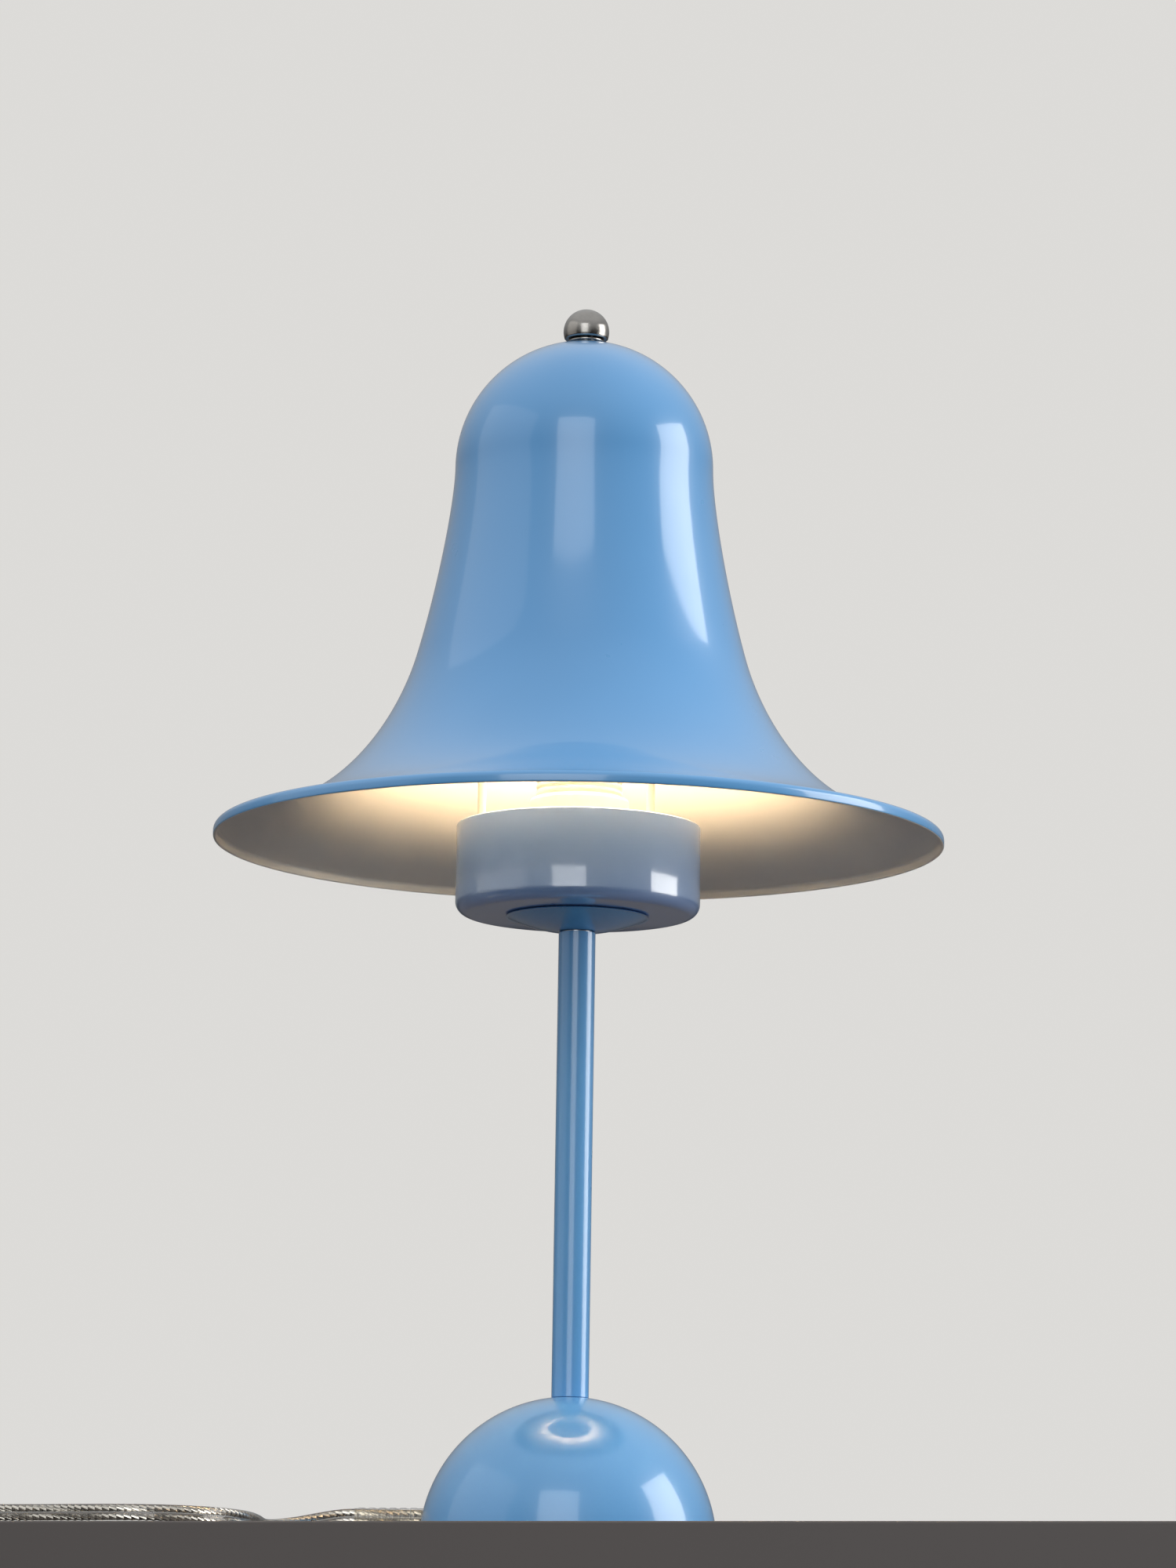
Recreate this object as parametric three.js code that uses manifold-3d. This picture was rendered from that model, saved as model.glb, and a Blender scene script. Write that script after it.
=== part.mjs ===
// Bell-shaped table lamp: a spun metal bell shade on a slim stem and a half-ball foot, with a clear
// flex, an inline switch and a two-pin plug. Millimetres, +Z up, origin at the centre of the foot's
// underside; the flex leaves the foot towards -X.
import * as THREE from 'three';
import { mergeVertices } from 'three/addons/utils/BufferGeometryUtils.js';
import Module from 'manifold-3d';

const wasm = await Module();
wasm.setup();

// ---- Driving dimensions ----------------------------------------------------------------------
const SHEET = 1.0; // spun steel of shade and foot shell
const CUP_WALL = 1.2;
const NIPPLE_RADIUS = 4.9; // M10 x 1 threaded tube
const NIPPLE_BORE = 3.6;
const NIPPLE_HOLE = 5.3; // clearance hole for that tube

const FOOT_RADIUS = 46.1;
const FOOT_EDGE = 1.2; // height of the shell's lower edge
const WEIGHT_RADIUS = 44.4;
const WEIGHT_BOTTOM = 3.9;
const RECESS_RADIUS = 14;
const RECESS_TOP = 22;
const PLATE_RADIUS = 44.0;
const CABLE_HEIGHT = 8; // axis of the cable outlet
const CABLE_HOLE = 3.6;

const STEM_RADIUS = 5.8;
const STEM_BOTTOM = 46.1;
const STEM_TOP = 191.35;
const DISH_RADIUS = 22.6;
const DISH_BOTTOM = 191.4;
const DISH_EDGE = 196.75;
const CUP_RADIUS = 38.5;
const CUP_BOTTOM = 197.1;
const CUP_TOP = 225.5;
const CUP_CORNER = 4;

const SPIDER_LOW = 203.2; // underside of the lower three-armed plate
const SPIDER_HIGH = 352.0; // underside of the upper one
const SPIDER_THICKNESS = 1.5;
const POST_CIRCLE = 31.6;
const POST_RADIUS = 1.4;
const POST_END_RADIUS = 1.0;
const POST_ANGLES = [75, 195, 315];

const DOME_RADIUS = 41;
const DOME_CENTRE = 341;
const RIM_RADIUS = 115;
const RIM_BOTTOM = 219.8;
const SHADE_HOLE = 3.4;
const STUD_RADIUS = 2.95;
const STUD_HOLE = 3.3;
const BALL_RADIUS = 7.3;
const BALL_CENTRE = 385.7;
const BALL_FLAT = 383.2;

const FLEX_RADIUS = 2.6; // half the width of the flat twin flex
const INNER_CABLE_RADIUS = 2.0;
const COIL = { x: -232, y: -15, inner: 22.8, outer: 35.6, bottom: 1.0, top: 11.7 };
const SWITCH = { x: -280, y: 34, length: 60, width: 21, split: 6.9, top: 13.6, pivot: 9.9 };
const ROCKER_TILT = THREE.MathUtils.degToRad(9);
const PLUG = { x: -242, back: 42, face: 76, height: 7.05, thickness: 13.6 };

// The flex's centre line, laid by hand: from the foot to the switch, on to the coil, out to the plug.
const LEAD_ROUTE = [
  [-66.6, 0, 8], [-70, 0, 7.8], [-76, -1.8, 6.7], [-82.6, -6, 5.1], [-88.5, -13, 3.8], [-92, -24, 3],
  [-93, -37, 2.75], [-93.5, -50, 2.7], [-95, -63, 2.7], [-99, -76, 2.7], [-107, -87, 2.7],
  [-119, -93.5, 2.7], [-133, -93.5, 2.7], [-148, -89, 2.7], [-165, -84, 2.7], [-184, -80, 2.7],
  [-205, -75.5, 2.7], [-228, -69, 2.7], [-247, -61.5, 2.7], [-262, -53.5, 2.7],
  [-273.5, -41.5, 2.7], [-279.5, -27, 3], [-280.5, -12, 4.6], [-280, 3.6, 6],
];
const MIDDLE_ROUTE = [
  [-280, 64.4, 6], [-279.5, 75, 5], [-275, 87, 3.6], [-266, 97.5, 2.9], [-253, 104, 2.7],
  [-239, 104.5, 2.7], [-225, 98, 2.7], [-214, 86, 2.7], [-206.5, 70, 2.7], [-202, 52, 2.8],
  [-199.5, 34, 3.2], [-198.3, 18, 3.8], [-198.1, 3.5, 4.2],
];
const TAIL_ROUTE = [
  [-252.2, 18, 6.9], [-248.4, 24.5, 6.3], [-244.8, 31, 6.4], [-242.6, 36.6, 6.9], [-242, 41.3, 7.05],
];

// ---- Finishes --------------------------------------------------------------------------------
const FINISHES = {
  blueLacquer: { color: 0x8db7e6, roughness: 0.22, metalness: 0.0 },
  brushedSteel: { color: 0xb9b6b0, roughness: 0.32, metalness: 1.0 },
  zincSteel: { color: 0xa9acb0, roughness: 0.4, metalness: 1.0 },
  castIron: { color: 0x3a3a3c, roughness: 0.8, metalness: 0.6 },
  whiteLacquer: { color: 0xefece4, roughness: 0.45, metalness: 0.0 },
  whitePlastic: { color: 0xf1efe9, roughness: 0.4, metalness: 0.0 },
  opalPlastic: { color: 0xfff3dc, roughness: 0.35, metalness: 0.0 },
  brass: { color: 0xc9a24b, roughness: 0.3, metalness: 1.0 },
  blackPlastic: { color: 0x1d1d1f, roughness: 0.5, metalness: 0.0 },
  rubber: { color: 0x2a2a2a, roughness: 0.9, metalness: 0.0 },
  clearPlastic: { color: 0xcfc9c0, roughness: 0.15, metalness: 0.0, transparent: true, opacity: 0.5 },
};

const lamp = new THREE.Group();

/** Adds one named piece to a group and gives it a material of its own. */
function addPiece(name, geometry, finish, parent = lamp) {
  const mesh = new THREE.Mesh(geometry, new THREE.MeshStandardMaterial(FINISHES[finish]));
  mesh.name = name;
  parent.add(mesh);
  return mesh;
}

// ---- Shape helpers ---------------------------------------------------------------------------
/** Turns an anticlockwise outline of [radius, height] points about +Z; off the axis it is closed. */
function turned(outline, segments) {
  const points = outline.map(([radius, height]) => new THREE.Vector2(radius, height));
  if (points[0].x > 0) points.push(points[0].clone());
  return new THREE.LatheGeometry(points, segments).rotateX(Math.PI / 2);
}

function ring(inner, outer, bottom, top, segments = 16) {
  return turned([[inner, bottom], [outer, bottom], [outer, top], [inner, top]], segments);
}

function rod(radius, bottom, top, segments = 16) {
  return turned([[0, bottom], [radius, bottom], [radius, top], [0, top]], segments);
}

/** Points on an arc in the [radius, height] plane, angles in degrees from the +radius direction. */
function arc(centreRadius, centreHeight, radius, from, to, steps) {
  return Array.from({ length: steps + 1 }, (_, i) => {
    const angle = THREE.MathUtils.degToRad(from + ((to - from) * i) / steps);
    return [centreRadius + radius * Math.cos(angle), centreHeight + radius * Math.sin(angle)];
  });
}

function degreesOf(sine) {
  return THREE.MathUtils.radToDeg(Math.asin(sine));
}

/** Moves each point of an open outline to its left by a distance, square to the outline there. */
function offsetLeft(points, distance) {
  return points.map(([radius, height], i) => {
    const before = points[Math.max(i - 1, 0)];
    const after = points[Math.min(i + 1, points.length - 1)];
    const along = new THREE.Vector2(after[0] - before[0], after[1] - before[1]).normalize();
    return [radius - along.y * distance, height + along.x * distance];
  });
}

function bezier(corners, steps) {
  const curve = new THREE.CubicBezierCurve(...corners.map(([x, y]) => new THREE.Vector2(x, y)));
  return curve.getPoints(steps).map((point) => [point.x, point.y]);
}

/** A flat plate of one outline, raised by its thickness. */
function plate(shape, bottom, thickness, curveSegments = 12) {
  const options = { depth: thickness, bevelEnabled: false, curveSegments };
  return new THREE.ExtrudeGeometry(shape, options).translate(0, 0, bottom);
}

function hexNut(acrossFlats, hole, bottom, top) {
  const corner = acrossFlats / 2 / Math.cos(Math.PI / 6);
  const shape = new THREE.Shape();
  for (let i = 0; i < 6; i += 1) {
    const angle = (i * Math.PI) / 3;
    const move = i === 0 ? 'moveTo' : 'lineTo';
    shape[move](corner * Math.cos(angle), corner * Math.sin(angle));
  }
  shape.closePath();
  shape.holes.push(new THREE.Path().absarc(0, 0, hole, 0, 2 * Math.PI, true));
  return plate(shape, bottom, top - bottom, 8);
}

function box(low, high) {
  const size = high.map((value, i) => value - low[i]);
  const centre = high.map((value, i) => (value + low[i]) / 2);
  return new THREE.BoxGeometry(...size).translate(...centre);
}

/** A round bar along X. */
function crossBar(radius, fromX, toX, height, segments = 20) {
  const bar = new THREE.CylinderGeometry(radius, radius, toX - fromX, segments);
  return bar.rotateZ(Math.PI / 2).translate((fromX + toX) / 2, 0, height);
}

/** A round cable along a smooth curve through its points. */
function cable(route, radius, steps) {
  const curve = new THREE.CatmullRomCurve3(route.map((point) => new THREE.Vector3(...point)));
  const corners = Array.from({ length: 8 }, (_, i) => {
    const angle = (i * Math.PI) / 4;
    return new THREE.Vector2(radius * Math.cos(angle), radius * Math.sin(angle));
  });
  const options = { steps, extrudePath: curve, bevelEnabled: false };
  return new THREE.ExtrudeGeometry(new THREE.Shape(corners), options);
}

function toSolid(geometry) {
  const bare = geometry.clone();
  bare.deleteAttribute('normal');
  bare.deleteAttribute('uv');
  const merged = mergeVertices(bare, 1e-4);
  const triangles = [];
  for (let i = 0; i < merged.index.count; i += 3) {
    const [a, b, c] = [0, 1, 2].map((k) => merged.index.getX(i + k));
    if (a !== b && b !== c && c !== a) triangles.push(a, b, c);
  }
  const vertProperties = new Float32Array(merged.attributes.position.array);
  const triVerts = new Uint32Array(triangles);
  return new wasm.Manifold(new wasm.Mesh({ numProp: 3, vertProperties, triVerts }));
}

function toGeometry(solid) {
  const mesh = solid.getMesh();
  const geometry = new THREE.BufferGeometry();
  geometry.setAttribute('position', new THREE.BufferAttribute(mesh.vertProperties, 3));
  geometry.setIndex(new THREE.BufferAttribute(mesh.triVerts, 1));
  return geometry;
}

function cut(geometry, ...tools) {
  return toGeometry(tools.reduce((solid, tool) => solid.subtract(toSolid(tool)), toSolid(geometry)));
}

function join(...geometries) {
  return toGeometry(geometries.map(toSolid).reduce((whole, part) => whole.add(part)));
}

/** Copies a geometry round the axis, one for each angle in degrees, at a radius. */
function aroundAxis(geometry, radius, angles) {
  return angles.map((angle) => {
    const turn = THREE.MathUtils.degToRad(angle);
    return geometry.clone().translate(radius * Math.cos(turn), radius * Math.sin(turn), 0);
  });
}

// ---- Foot ------------------------------------------------------------------------------------
function addFoot() {
  const outer = arc(0, 0, FOOT_RADIUS, degreesOf(FOOT_EDGE / FOOT_RADIUS),
    90 - degreesOf(NIPPLE_HOLE / FOOT_RADIUS), 8);
  const innerRadius = FOOT_RADIUS - SHEET;
  const inner = arc(0, 0, innerRadius, 90 - degreesOf(NIPPLE_HOLE / innerRadius),
    degreesOf(FOOT_EDGE / innerRadius), 8);
  const outlet = crossBar(CABLE_HOLE, -FOOT_RADIUS - 4, -FOOT_RADIUS + 8, CABLE_HEIGHT);
  addPiece('base_shell', cut(turned([...outer, ...inner], 28), outlet), 'blueLacquer');

  const screwCircle = 28;
  const screwAngles = [60, 120, 300];
  const weightTop = 44;
  const weightArc = arc(0, 0, WEIGHT_RADIUS, degreesOf(WEIGHT_BOTTOM / WEIGHT_RADIUS),
    degreesOf(weightTop / WEIGHT_RADIUS), 7);
  const weightOutline = [[RECESS_RADIUS, WEIGHT_BOTTOM], ...weightArc, [NIPPLE_HOLE, weightTop],
    [NIPPLE_HOLE, RECESS_TOP], [RECESS_RADIUS, RECESS_TOP]];
  const cableChannel = box([-47, -3.2, 0], [-12, 3.2, 12.2]);
  const flangePocket = box([-47, -5.2, 0], [-40.5, 5.2, 13]);
  const clampPocket = box([-27.3, -10.4, 0], [-18.7, 10.4, 6.6]);
  const clampHoles = [-7, 7].map((y) => rod(1.5, 2, 13, 12).translate(-23, y, 0));
  const screwHoles = aroundAxis(rod(1.8, 2, 12.5, 10), screwCircle, screwAngles);
  addPiece('base_weight', cut(turned(weightOutline, 24), cableChannel, flangePocket, clampPocket,
    ...clampHoles, ...screwHoles), 'castIron');

  const plateBottom = 2.1;
  const plateTop = 3.6;
  const sinks = aroundAxis(turned([[0, 1.9], [3.1, 1.9], [1.8, 3.8], [0, 3.8]], 10),
    screwCircle, screwAngles);
  addPiece('base_plate', cut(rod(PLATE_RADIUS, plateBottom, plateTop, 24), ...sinks), 'zincSteel');
  const screw = turned([[0, 2.1], [2.5, 2.1], [1.4, 3.6], [1.4, 12], [0, 12]], 8);
  aroundAxis(screw, screwCircle, screwAngles).forEach((geometry, i) => {
    addPiece(`plate_screw_${i + 1}`, geometry, 'zincSteel');
  });
  addPiece('foot_pad', ring(12, 42.5, 0, 1.8, 28), 'rubber');

  addPiece('lower_nipple', ring(NIPPLE_BORE, NIPPLE_RADIUS, 15.4, 62, 16), 'zincSteel');
  addPiece('stem_washer', ring(NIPPLE_HOLE, 13, 20.2, 21.7, 20), 'zincSteel');
  addPiece('stem_nut', hexNut(17, NIPPLE_HOLE, 15.9, 19.9), 'zincSteel');

  const bar = cut(box([-27, -10, 5.4], [-19, 10, 6.3]),
    ...[-7, 7].map((y) => rod(1.5, 5, 7, 12).translate(-23, y, 0)));
  addPiece('cord_clamp', bar, 'zincSteel');
  const clampScrew = turned([[0, 4], [2.2, 4], [2.2, 5.1], [1.1, 5.1], [1.1, 12], [0, 12]], 8);
  [-7, 7].forEach((y, i) => {
    addPiece(`clamp_screw_${i + 1}`, clampScrew.clone().translate(-23, y, 0), 'zincSteel');
  });
}

/** The moulded sleeve that guides the flex out of the foot: an inner flange and a long taper. */
function addStrainRelief() {
  const outline = [[0, 41.8], [4.1, 41.8], [4.1, 42.8], [3.1, 42.8], [3.1, 46.6], [2.75, 66], [0, 66]];
  const sleeve = turned(outline, 12).rotateY(-Math.PI / 2).translate(0, 0, CABLE_HEIGHT);
  addPiece('strain_relief', sleeve, 'clearPlastic');
}

// ---- Stem, dish and cup ----------------------------------------------------------------------
function addStem() {
  const tapped = 5.2; // radius of the stem's threaded ends
  const bore = 4.4;
  const lowThread = 64.5;
  const highThread = 172.5;
  const outline = [[tapped, STEM_BOTTOM], [STEM_RADIUS, STEM_BOTTOM], [STEM_RADIUS, STEM_TOP],
    [tapped, STEM_TOP], [tapped, highThread], [bore, highThread], [bore, lowThread],
    [tapped, lowThread]];
  addPiece('stem', turned(outline, 20), 'blueLacquer');
  addPiece('upper_nipple', ring(NIPPLE_BORE, NIPPLE_RADIUS, 174, 214, 16), 'zincSteel');

  const innerRoute = [[-41.4, 0, 8], [-37, 0, 8.2], [-30, 0, 8.7], [-22, 0, 8.8], [-14, 0, 9],
    [-8.6, 0, 9.6], [-4.4, 0, 11], [-1.2, 0, 13.6], [0, 0, 17.6], [0, 0, 30], [0, 0, 70], [0, 0, 125],
    [0, 0, 180], [0, 0, 219.4]];
  addPiece('inner_cable', cable(innerRoute, INNER_CABLE_RADIUS, 40), 'clearPlastic');
}

function addDishAndCup() {
  const sag = DISH_EDGE - DISH_BOTTOM;
  const curve = (DISH_RADIUS ** 2 + sag ** 2) / (2 * sag);
  const thickness = 1.1;
  const centre = DISH_BOTTOM + curve;
  const dishArc = (radius, fromR, toR) => arc(0, centre, radius, -90 + degreesOf(fromR / radius),
    -90 + degreesOf(toR / radius), 4);
  const inside = curve - thickness;
  const insideEdge = Math.sqrt(inside ** 2 - (centre - DISH_EDGE) ** 2);
  addPiece('dish', turned([...dishArc(curve, NIPPLE_HOLE, DISH_RADIUS),
    ...dishArc(inside, insideEdge, NIPPLE_HOLE)], 28), 'blueLacquer');
  addPiece('dish_spacer', ring(NIPPLE_HOLE, 9, 193.9, CUP_BOTTOM - 0.3), 'zincSteel');

  const flat = CUP_RADIUS - CUP_CORNER;
  const cornerHeight = CUP_BOTTOM + CUP_CORNER;
  const outerCorner = arc(flat, cornerHeight, CUP_CORNER, -90, 0, 3);
  const innerCorner = arc(flat, cornerHeight, CUP_CORNER - CUP_WALL, 0, -90, 3);
  const innerRadius = CUP_RADIUS - CUP_WALL;
  const outline = [[NIPPLE_HOLE, CUP_BOTTOM], ...outerCorner, [CUP_RADIUS, CUP_TOP],
    [innerRadius, CUP_TOP], ...innerCorner, [NIPPLE_HOLE, CUP_BOTTOM + CUP_WALL]];
  addPiece('cup', turned(outline, 32), 'blueLacquer');
  addPiece('carrier_spacer', ring(NIPPLE_HOLE, 9, CUP_BOTTOM + CUP_WALL + 0.3, SPIDER_LOW - 0.3),
    'zincSteel');
  addPiece('cup_nut', hexNut(17, NIPPLE_HOLE, 205, 208.5), 'zincSteel');
}

// ---- Shade carrier ---------------------------------------------------------------------------
/** A pressed plate with a hub and three arms that hold the posts. */
function spider(bottom, hubHole) {
  const hubRadius = 12;
  const padRadius = 3.6;
  const top = bottom + SPIDER_THICKNESS;
  const arms = POST_ANGLES.map((angle) => box([0, -padRadius, bottom], [POST_CIRCLE, padRadius, top])
    .rotateZ(THREE.MathUtils.degToRad(angle)));
  const pads = aroundAxis(rod(padRadius, bottom, top, 12), POST_CIRCLE, POST_ANGLES);
  const postHole = rod(POST_END_RADIUS + 0.3, bottom - 1, top + 1, 10);
  return cut(join(rod(hubRadius, bottom, top, 18), ...arms, ...pads),
    rod(hubHole, bottom - 1, top + 1, 18), ...aroundAxis(postHole, POST_CIRCLE, POST_ANGLES));
}

function addCarrier() {
  addPiece('lower_spider', spider(SPIDER_LOW, NIPPLE_HOLE), 'zincSteel');
  addPiece('upper_spider', spider(SPIDER_HIGH, STUD_HOLE), 'zincSteel');
  const shoulderLow = SPIDER_LOW + SPIDER_THICKNESS + 0.3;
  const shoulderHigh = SPIDER_HIGH - 0.3;
  const post = turned([[0, 200.6], [POST_END_RADIUS, 200.6], [POST_END_RADIUS, shoulderLow],
    [POST_RADIUS, shoulderLow], [POST_RADIUS, shoulderHigh], [POST_END_RADIUS, shoulderHigh],
    [POST_END_RADIUS, 356.6], [0, 356.6]], 10);
  const posts = aroundAxis(post, POST_CIRCLE, POST_ANGLES);
  const nuts = aroundAxis(hexNut(4.5, 1.3, 353.8, 355.8), POST_CIRCLE, POST_ANGLES);
  POST_ANGLES.forEach((_, i) => {
    addPiece(`post_${i + 1}`, posts[i], 'whiteLacquer');
    addPiece(`post_nut_${i + 1}`, nuts[i], 'zincSteel');
  });
  addPiece('stud', rod(STUD_RADIUS, 347, 389.6, 16), 'zincSteel');
  addPiece('stud_nut', hexNut(10, STUD_HOLE, 348.5, 351.7), 'zincSteel');
  addPiece('stud_sleeve', ring(STUD_HOLE, 6, 353.8, 378, 16), 'zincSteel');
  addPiece('seat_washer', ring(STUD_HOLE, 8, 378.3, 379.7, 16), 'rubber');
}

// ---- Lampholder and bulb ---------------------------------------------------------------------
function addHolder() {
  addPiece('holder_cap', turned([[5.2, 208.8], [12, 208.8], [14, 210.8], [14, 216], [12.4, 216],
    [12.4, 210.9], [5.2, 210.9]], 20), 'whitePlastic');
  addPiece('holder_body', turned([[2.6, 216.3], [13.6, 216.3], [13.6, 249.2], [13, 250], [12, 250],
    [12, 244.5], [8.2, 244.5], [8.2, 219.5], [2.6, 219.5]], 20), 'whitePlastic');
  addPiece('holder_ring', turned([[13.9, 226], [15.75, 226], [15.75, 232.6],
    ...arc(14.35, 232.8, 1.4, 10, 90, 2), [13.9, 234.2]], 20), 'whitePlastic');
  addPiece('holder_shell', ring(7.3, 7.8, 222, 243, 20), 'brass');
  addPiece('holder_contact', rod(4, 219.8, 220.6, 16), 'brass');
}

function addBulb() {
  const centre = 281;
  const globe = 22.5;
  const wall = 1;
  const rim = 263;
  const rimAngle = (radius) => degreesOf((rim - centre) / radius);
  addPiece('bulb_contact', rod(2.2, 220.9, 222.9, 12), 'brass');
  addPiece('bulb_insulator', turned([[0, 223.2], [3.5, 223.2], [6.6, 226], [0, 226]], 16),
    'blackPlastic');
  addPiece('bulb_cap', ring(6.5, 6.9, 226.3, 247, 20), 'brushedSteel');
  addPiece('bulb_housing', turned([[5.5, 247.3], [6.9, 247.3], [8.6, 248.3], [10.8, 252],
    [13.3, 262.7], [12.1, 262.7], [9.6, 252.4], [7.6, 249.3], [5.5, 248.5]], 20), 'whitePlastic');
  addPiece('bulb_globe', turned([...arc(0, centre, globe - wall, 90, rimAngle(globe - wall), 8),
    ...arc(0, centre, globe, rimAngle(globe), 90, 8)], 22), 'opalPlastic');
}

// ---- Shade and finial ------------------------------------------------------------------------
function addShade() {
  const shoulder = [DOME_RADIUS, DOME_CENTRE];
  const waist = [52.2, 279];
  const flare = [RIM_RADIUS - 2, RIM_BOTTOM + 3.8];
  const lip = arc(flare[0], flare[1] - 2, 2, 0, 90, 2);
  const skirt = bezier([flare, [78.1, 226.25], [58.8, 255.9], waist], 6).slice(1);
  const side = bezier([waist, [46.2, 300.2], [DOME_RADIUS, 329], shoulder], 3).slice(1);
  const dome = arc(0, DOME_CENTRE, DOME_RADIUS, 0, 90 - degreesOf(SHADE_HOLE / DOME_RADIUS), 7);
  const outer = [[RIM_RADIUS, RIM_BOTTOM], ...lip, ...skirt, ...side, ...dome.slice(1)];
  const inner = offsetLeft(outer, SHEET).reverse();
  inner[0][0] = SHADE_HOLE;
  addPiece('shade', turned([...outer, ...inner], 32), 'blueLacquer');
}

function addFinial() {
  addPiece('finial_washer', ring(STUD_HOLE, 5.6, 382.2, 382.9, 16), 'brushedSteel');
  const flatAngle = degreesOf((BALL_FLAT - BALL_CENTRE) / BALL_RADIUS);
  addPiece('finial', turned([[0, 390.6], [STUD_HOLE, 390.6], [STUD_HOLE, BALL_FLAT],
    ...arc(0, BALL_CENTRE, BALL_RADIUS, flatAngle, 90, 9)], 20), 'brushedSteel');
}

// ---- Flex, switch, coil and plug -------------------------------------------------------------
function roundedBar(length, width, corner) {
  const [x, y] = [length / 2 - corner, width / 2 - corner];
  const shape = new THREE.Shape();
  shape.absarc(x, -y, corner, -Math.PI / 2, 0, false);
  shape.absarc(x, y, corner, 0, Math.PI / 2, false);
  shape.absarc(-x, y, corner, Math.PI / 2, Math.PI, false);
  shape.absarc(-x, -y, corner, Math.PI, (3 * Math.PI) / 2, false);
  return shape;
}

/** The inline switch along its own X: a tray, a lid with a window, the rocker and its contact. */
function addSwitch() {
  const group = new THREE.Group();
  group.position.set(SWITCH.x, SWITCH.y, 0);
  group.rotation.z = Math.PI / 2;
  lamp.add(group);
  const outline = roundedBar(SWITCH.length, SWITCH.width, 7);
  const hollow = roundedBar(SWITCH.length - 4, SWITCH.width - 4, 5);
  const flexHoles = crossBar(FLEX_RADIUS + 0.3, -40, 40, 6, 12);
  const ears = [-1, 1].map((side) => box([-2, side * 5.4 - 0.8, 1], [2, side * 5.4 + 0.8, 8.6]));
  const tray = cut(plate(outline, 0.2, SWITCH.split - 0.2, 3), plate(hollow, 1.8, 10, 3), flexHoles);
  addPiece('switch_tray', join(tray, ...ears), 'whitePlastic', group);

  const lidBottom = SWITCH.split + 0.3;
  const window = box([-7.6, -4.7, 5], [7.6, 4.7, 20]);
  addPiece('switch_lid', cut(plate(outline, lidBottom, SWITCH.top - lidBottom, 3),
    plate(hollow, 5, SWITCH.top - 1.5 - 5, 3), window, flexHoles), 'whitePlastic', group);
  addPiece('switch_contact', box([-10, -1.5, 2.1], [10, 1.5, 2.7]), 'brass', group);

  const reach = 7.2;
  const edge = THREE.MathUtils.degToRad(45);
  const skirt = THREE.MathUtils.degToRad(25);
  const shape = new THREE.Shape();
  shape.absarc(0, 0, reach, -skirt, edge, false);
  shape.lineTo(0, 3.6);
  shape.absarc(0, 0, reach, Math.PI - edge, Math.PI + skirt, false);
  shape.closePath();
  const halfWidth = 4.3;
  const paddle = plate(shape, -halfWidth, 2 * halfWidth, 5);
  const pin = rod(1, -5.9, 5.9, 10);
  const rocker = join(paddle, pin).rotateX(Math.PI / 2).rotateY(ROCKER_TILT);
  addPiece('switch_rocker', rocker, 'whitePlastic', group).position.z = SWITCH.pivot;
}

function addFlex() {
  addPiece('cord_lead', cable(LEAD_ROUTE, FLEX_RADIUS, 32), 'clearPlastic');
  addPiece('cord_middle', cable(MIDDLE_ROUTE, FLEX_RADIUS, 17), 'clearPlastic');
  addPiece('cord_tail', cable(TAIL_ROUTE, FLEX_RADIUS, 4), 'clearPlastic');
  const coil = ring(COIL.inner, COIL.outer, COIL.bottom, COIL.top, 32);
  addPiece('cord_coil', coil.translate(COIL.x, COIL.y, 0), 'clearPlastic');

  const clearance = 0.6;
  const band = 0.5;
  const [near, far] = [COIL.inner - clearance, COIL.outer + clearance];
  const tie = cut(box([near - band, -3, 0.1], [far + band, 3, COIL.top + clearance + band]),
    box([near, -4, 0.1 + band], [far, 4, COIL.top + clearance]));
  tie.rotateZ(THREE.MathUtils.degToRad(255)).translate(COIL.x, COIL.y, 0);
  addPiece('coil_tie', tie, 'blackPlastic');
}

function addPlug() {
  const halfFace = 17.5;
  const shape = new THREE.Shape();
  shape.moveTo(5, PLUG.back).lineTo(14.5, PLUG.back + 13).lineTo(halfFace, PLUG.face - 9);
  shape.lineTo(halfFace, PLUG.face).lineTo(-halfFace, PLUG.face).lineTo(-halfFace, PLUG.face - 9);
  shape.lineTo(-14.5, PLUG.back + 13).lineTo(-5, PLUG.back).closePath();
  const bottom = PLUG.height - PLUG.thickness / 2;
  addPiece('plug_body', plate(shape, bottom, PLUG.thickness).translate(PLUG.x, 0, 0), 'whitePlastic');
  const pin = rod(2, PLUG.face + 0.3, PLUG.face + 19, 12).rotateX(-Math.PI / 2);
  [-9.3, 9.3].forEach((offset, i) => {
    const geometry = pin.clone().translate(PLUG.x + offset, 0, PLUG.height);
    addPiece(`plug_pin_${i + 1}`, geometry, 'zincSteel');
  });
}

addFoot();
addStrainRelief();
addStem();
addDishAndCup();
addCarrier();
addHolder();
addBulb();
addShade();
addFinial();
addSwitch();
addFlex();
addPlug();

export default lamp;
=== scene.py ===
"""A bell-shaped table lamp: lacquered shade, cup, dish, stem and half-ball foot, with its lit bulb,
lampholder, clear flex, inline switch and plug. Metres, +Z up, the foot's underside at the origin."""

from __future__ import annotations

import logging
import math
from dataclasses import dataclass, field
from enum import Enum
from typing import Callable, Iterable, Sequence

import bpy
import numpy as np
from mathutils import Matrix, Vector


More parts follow.
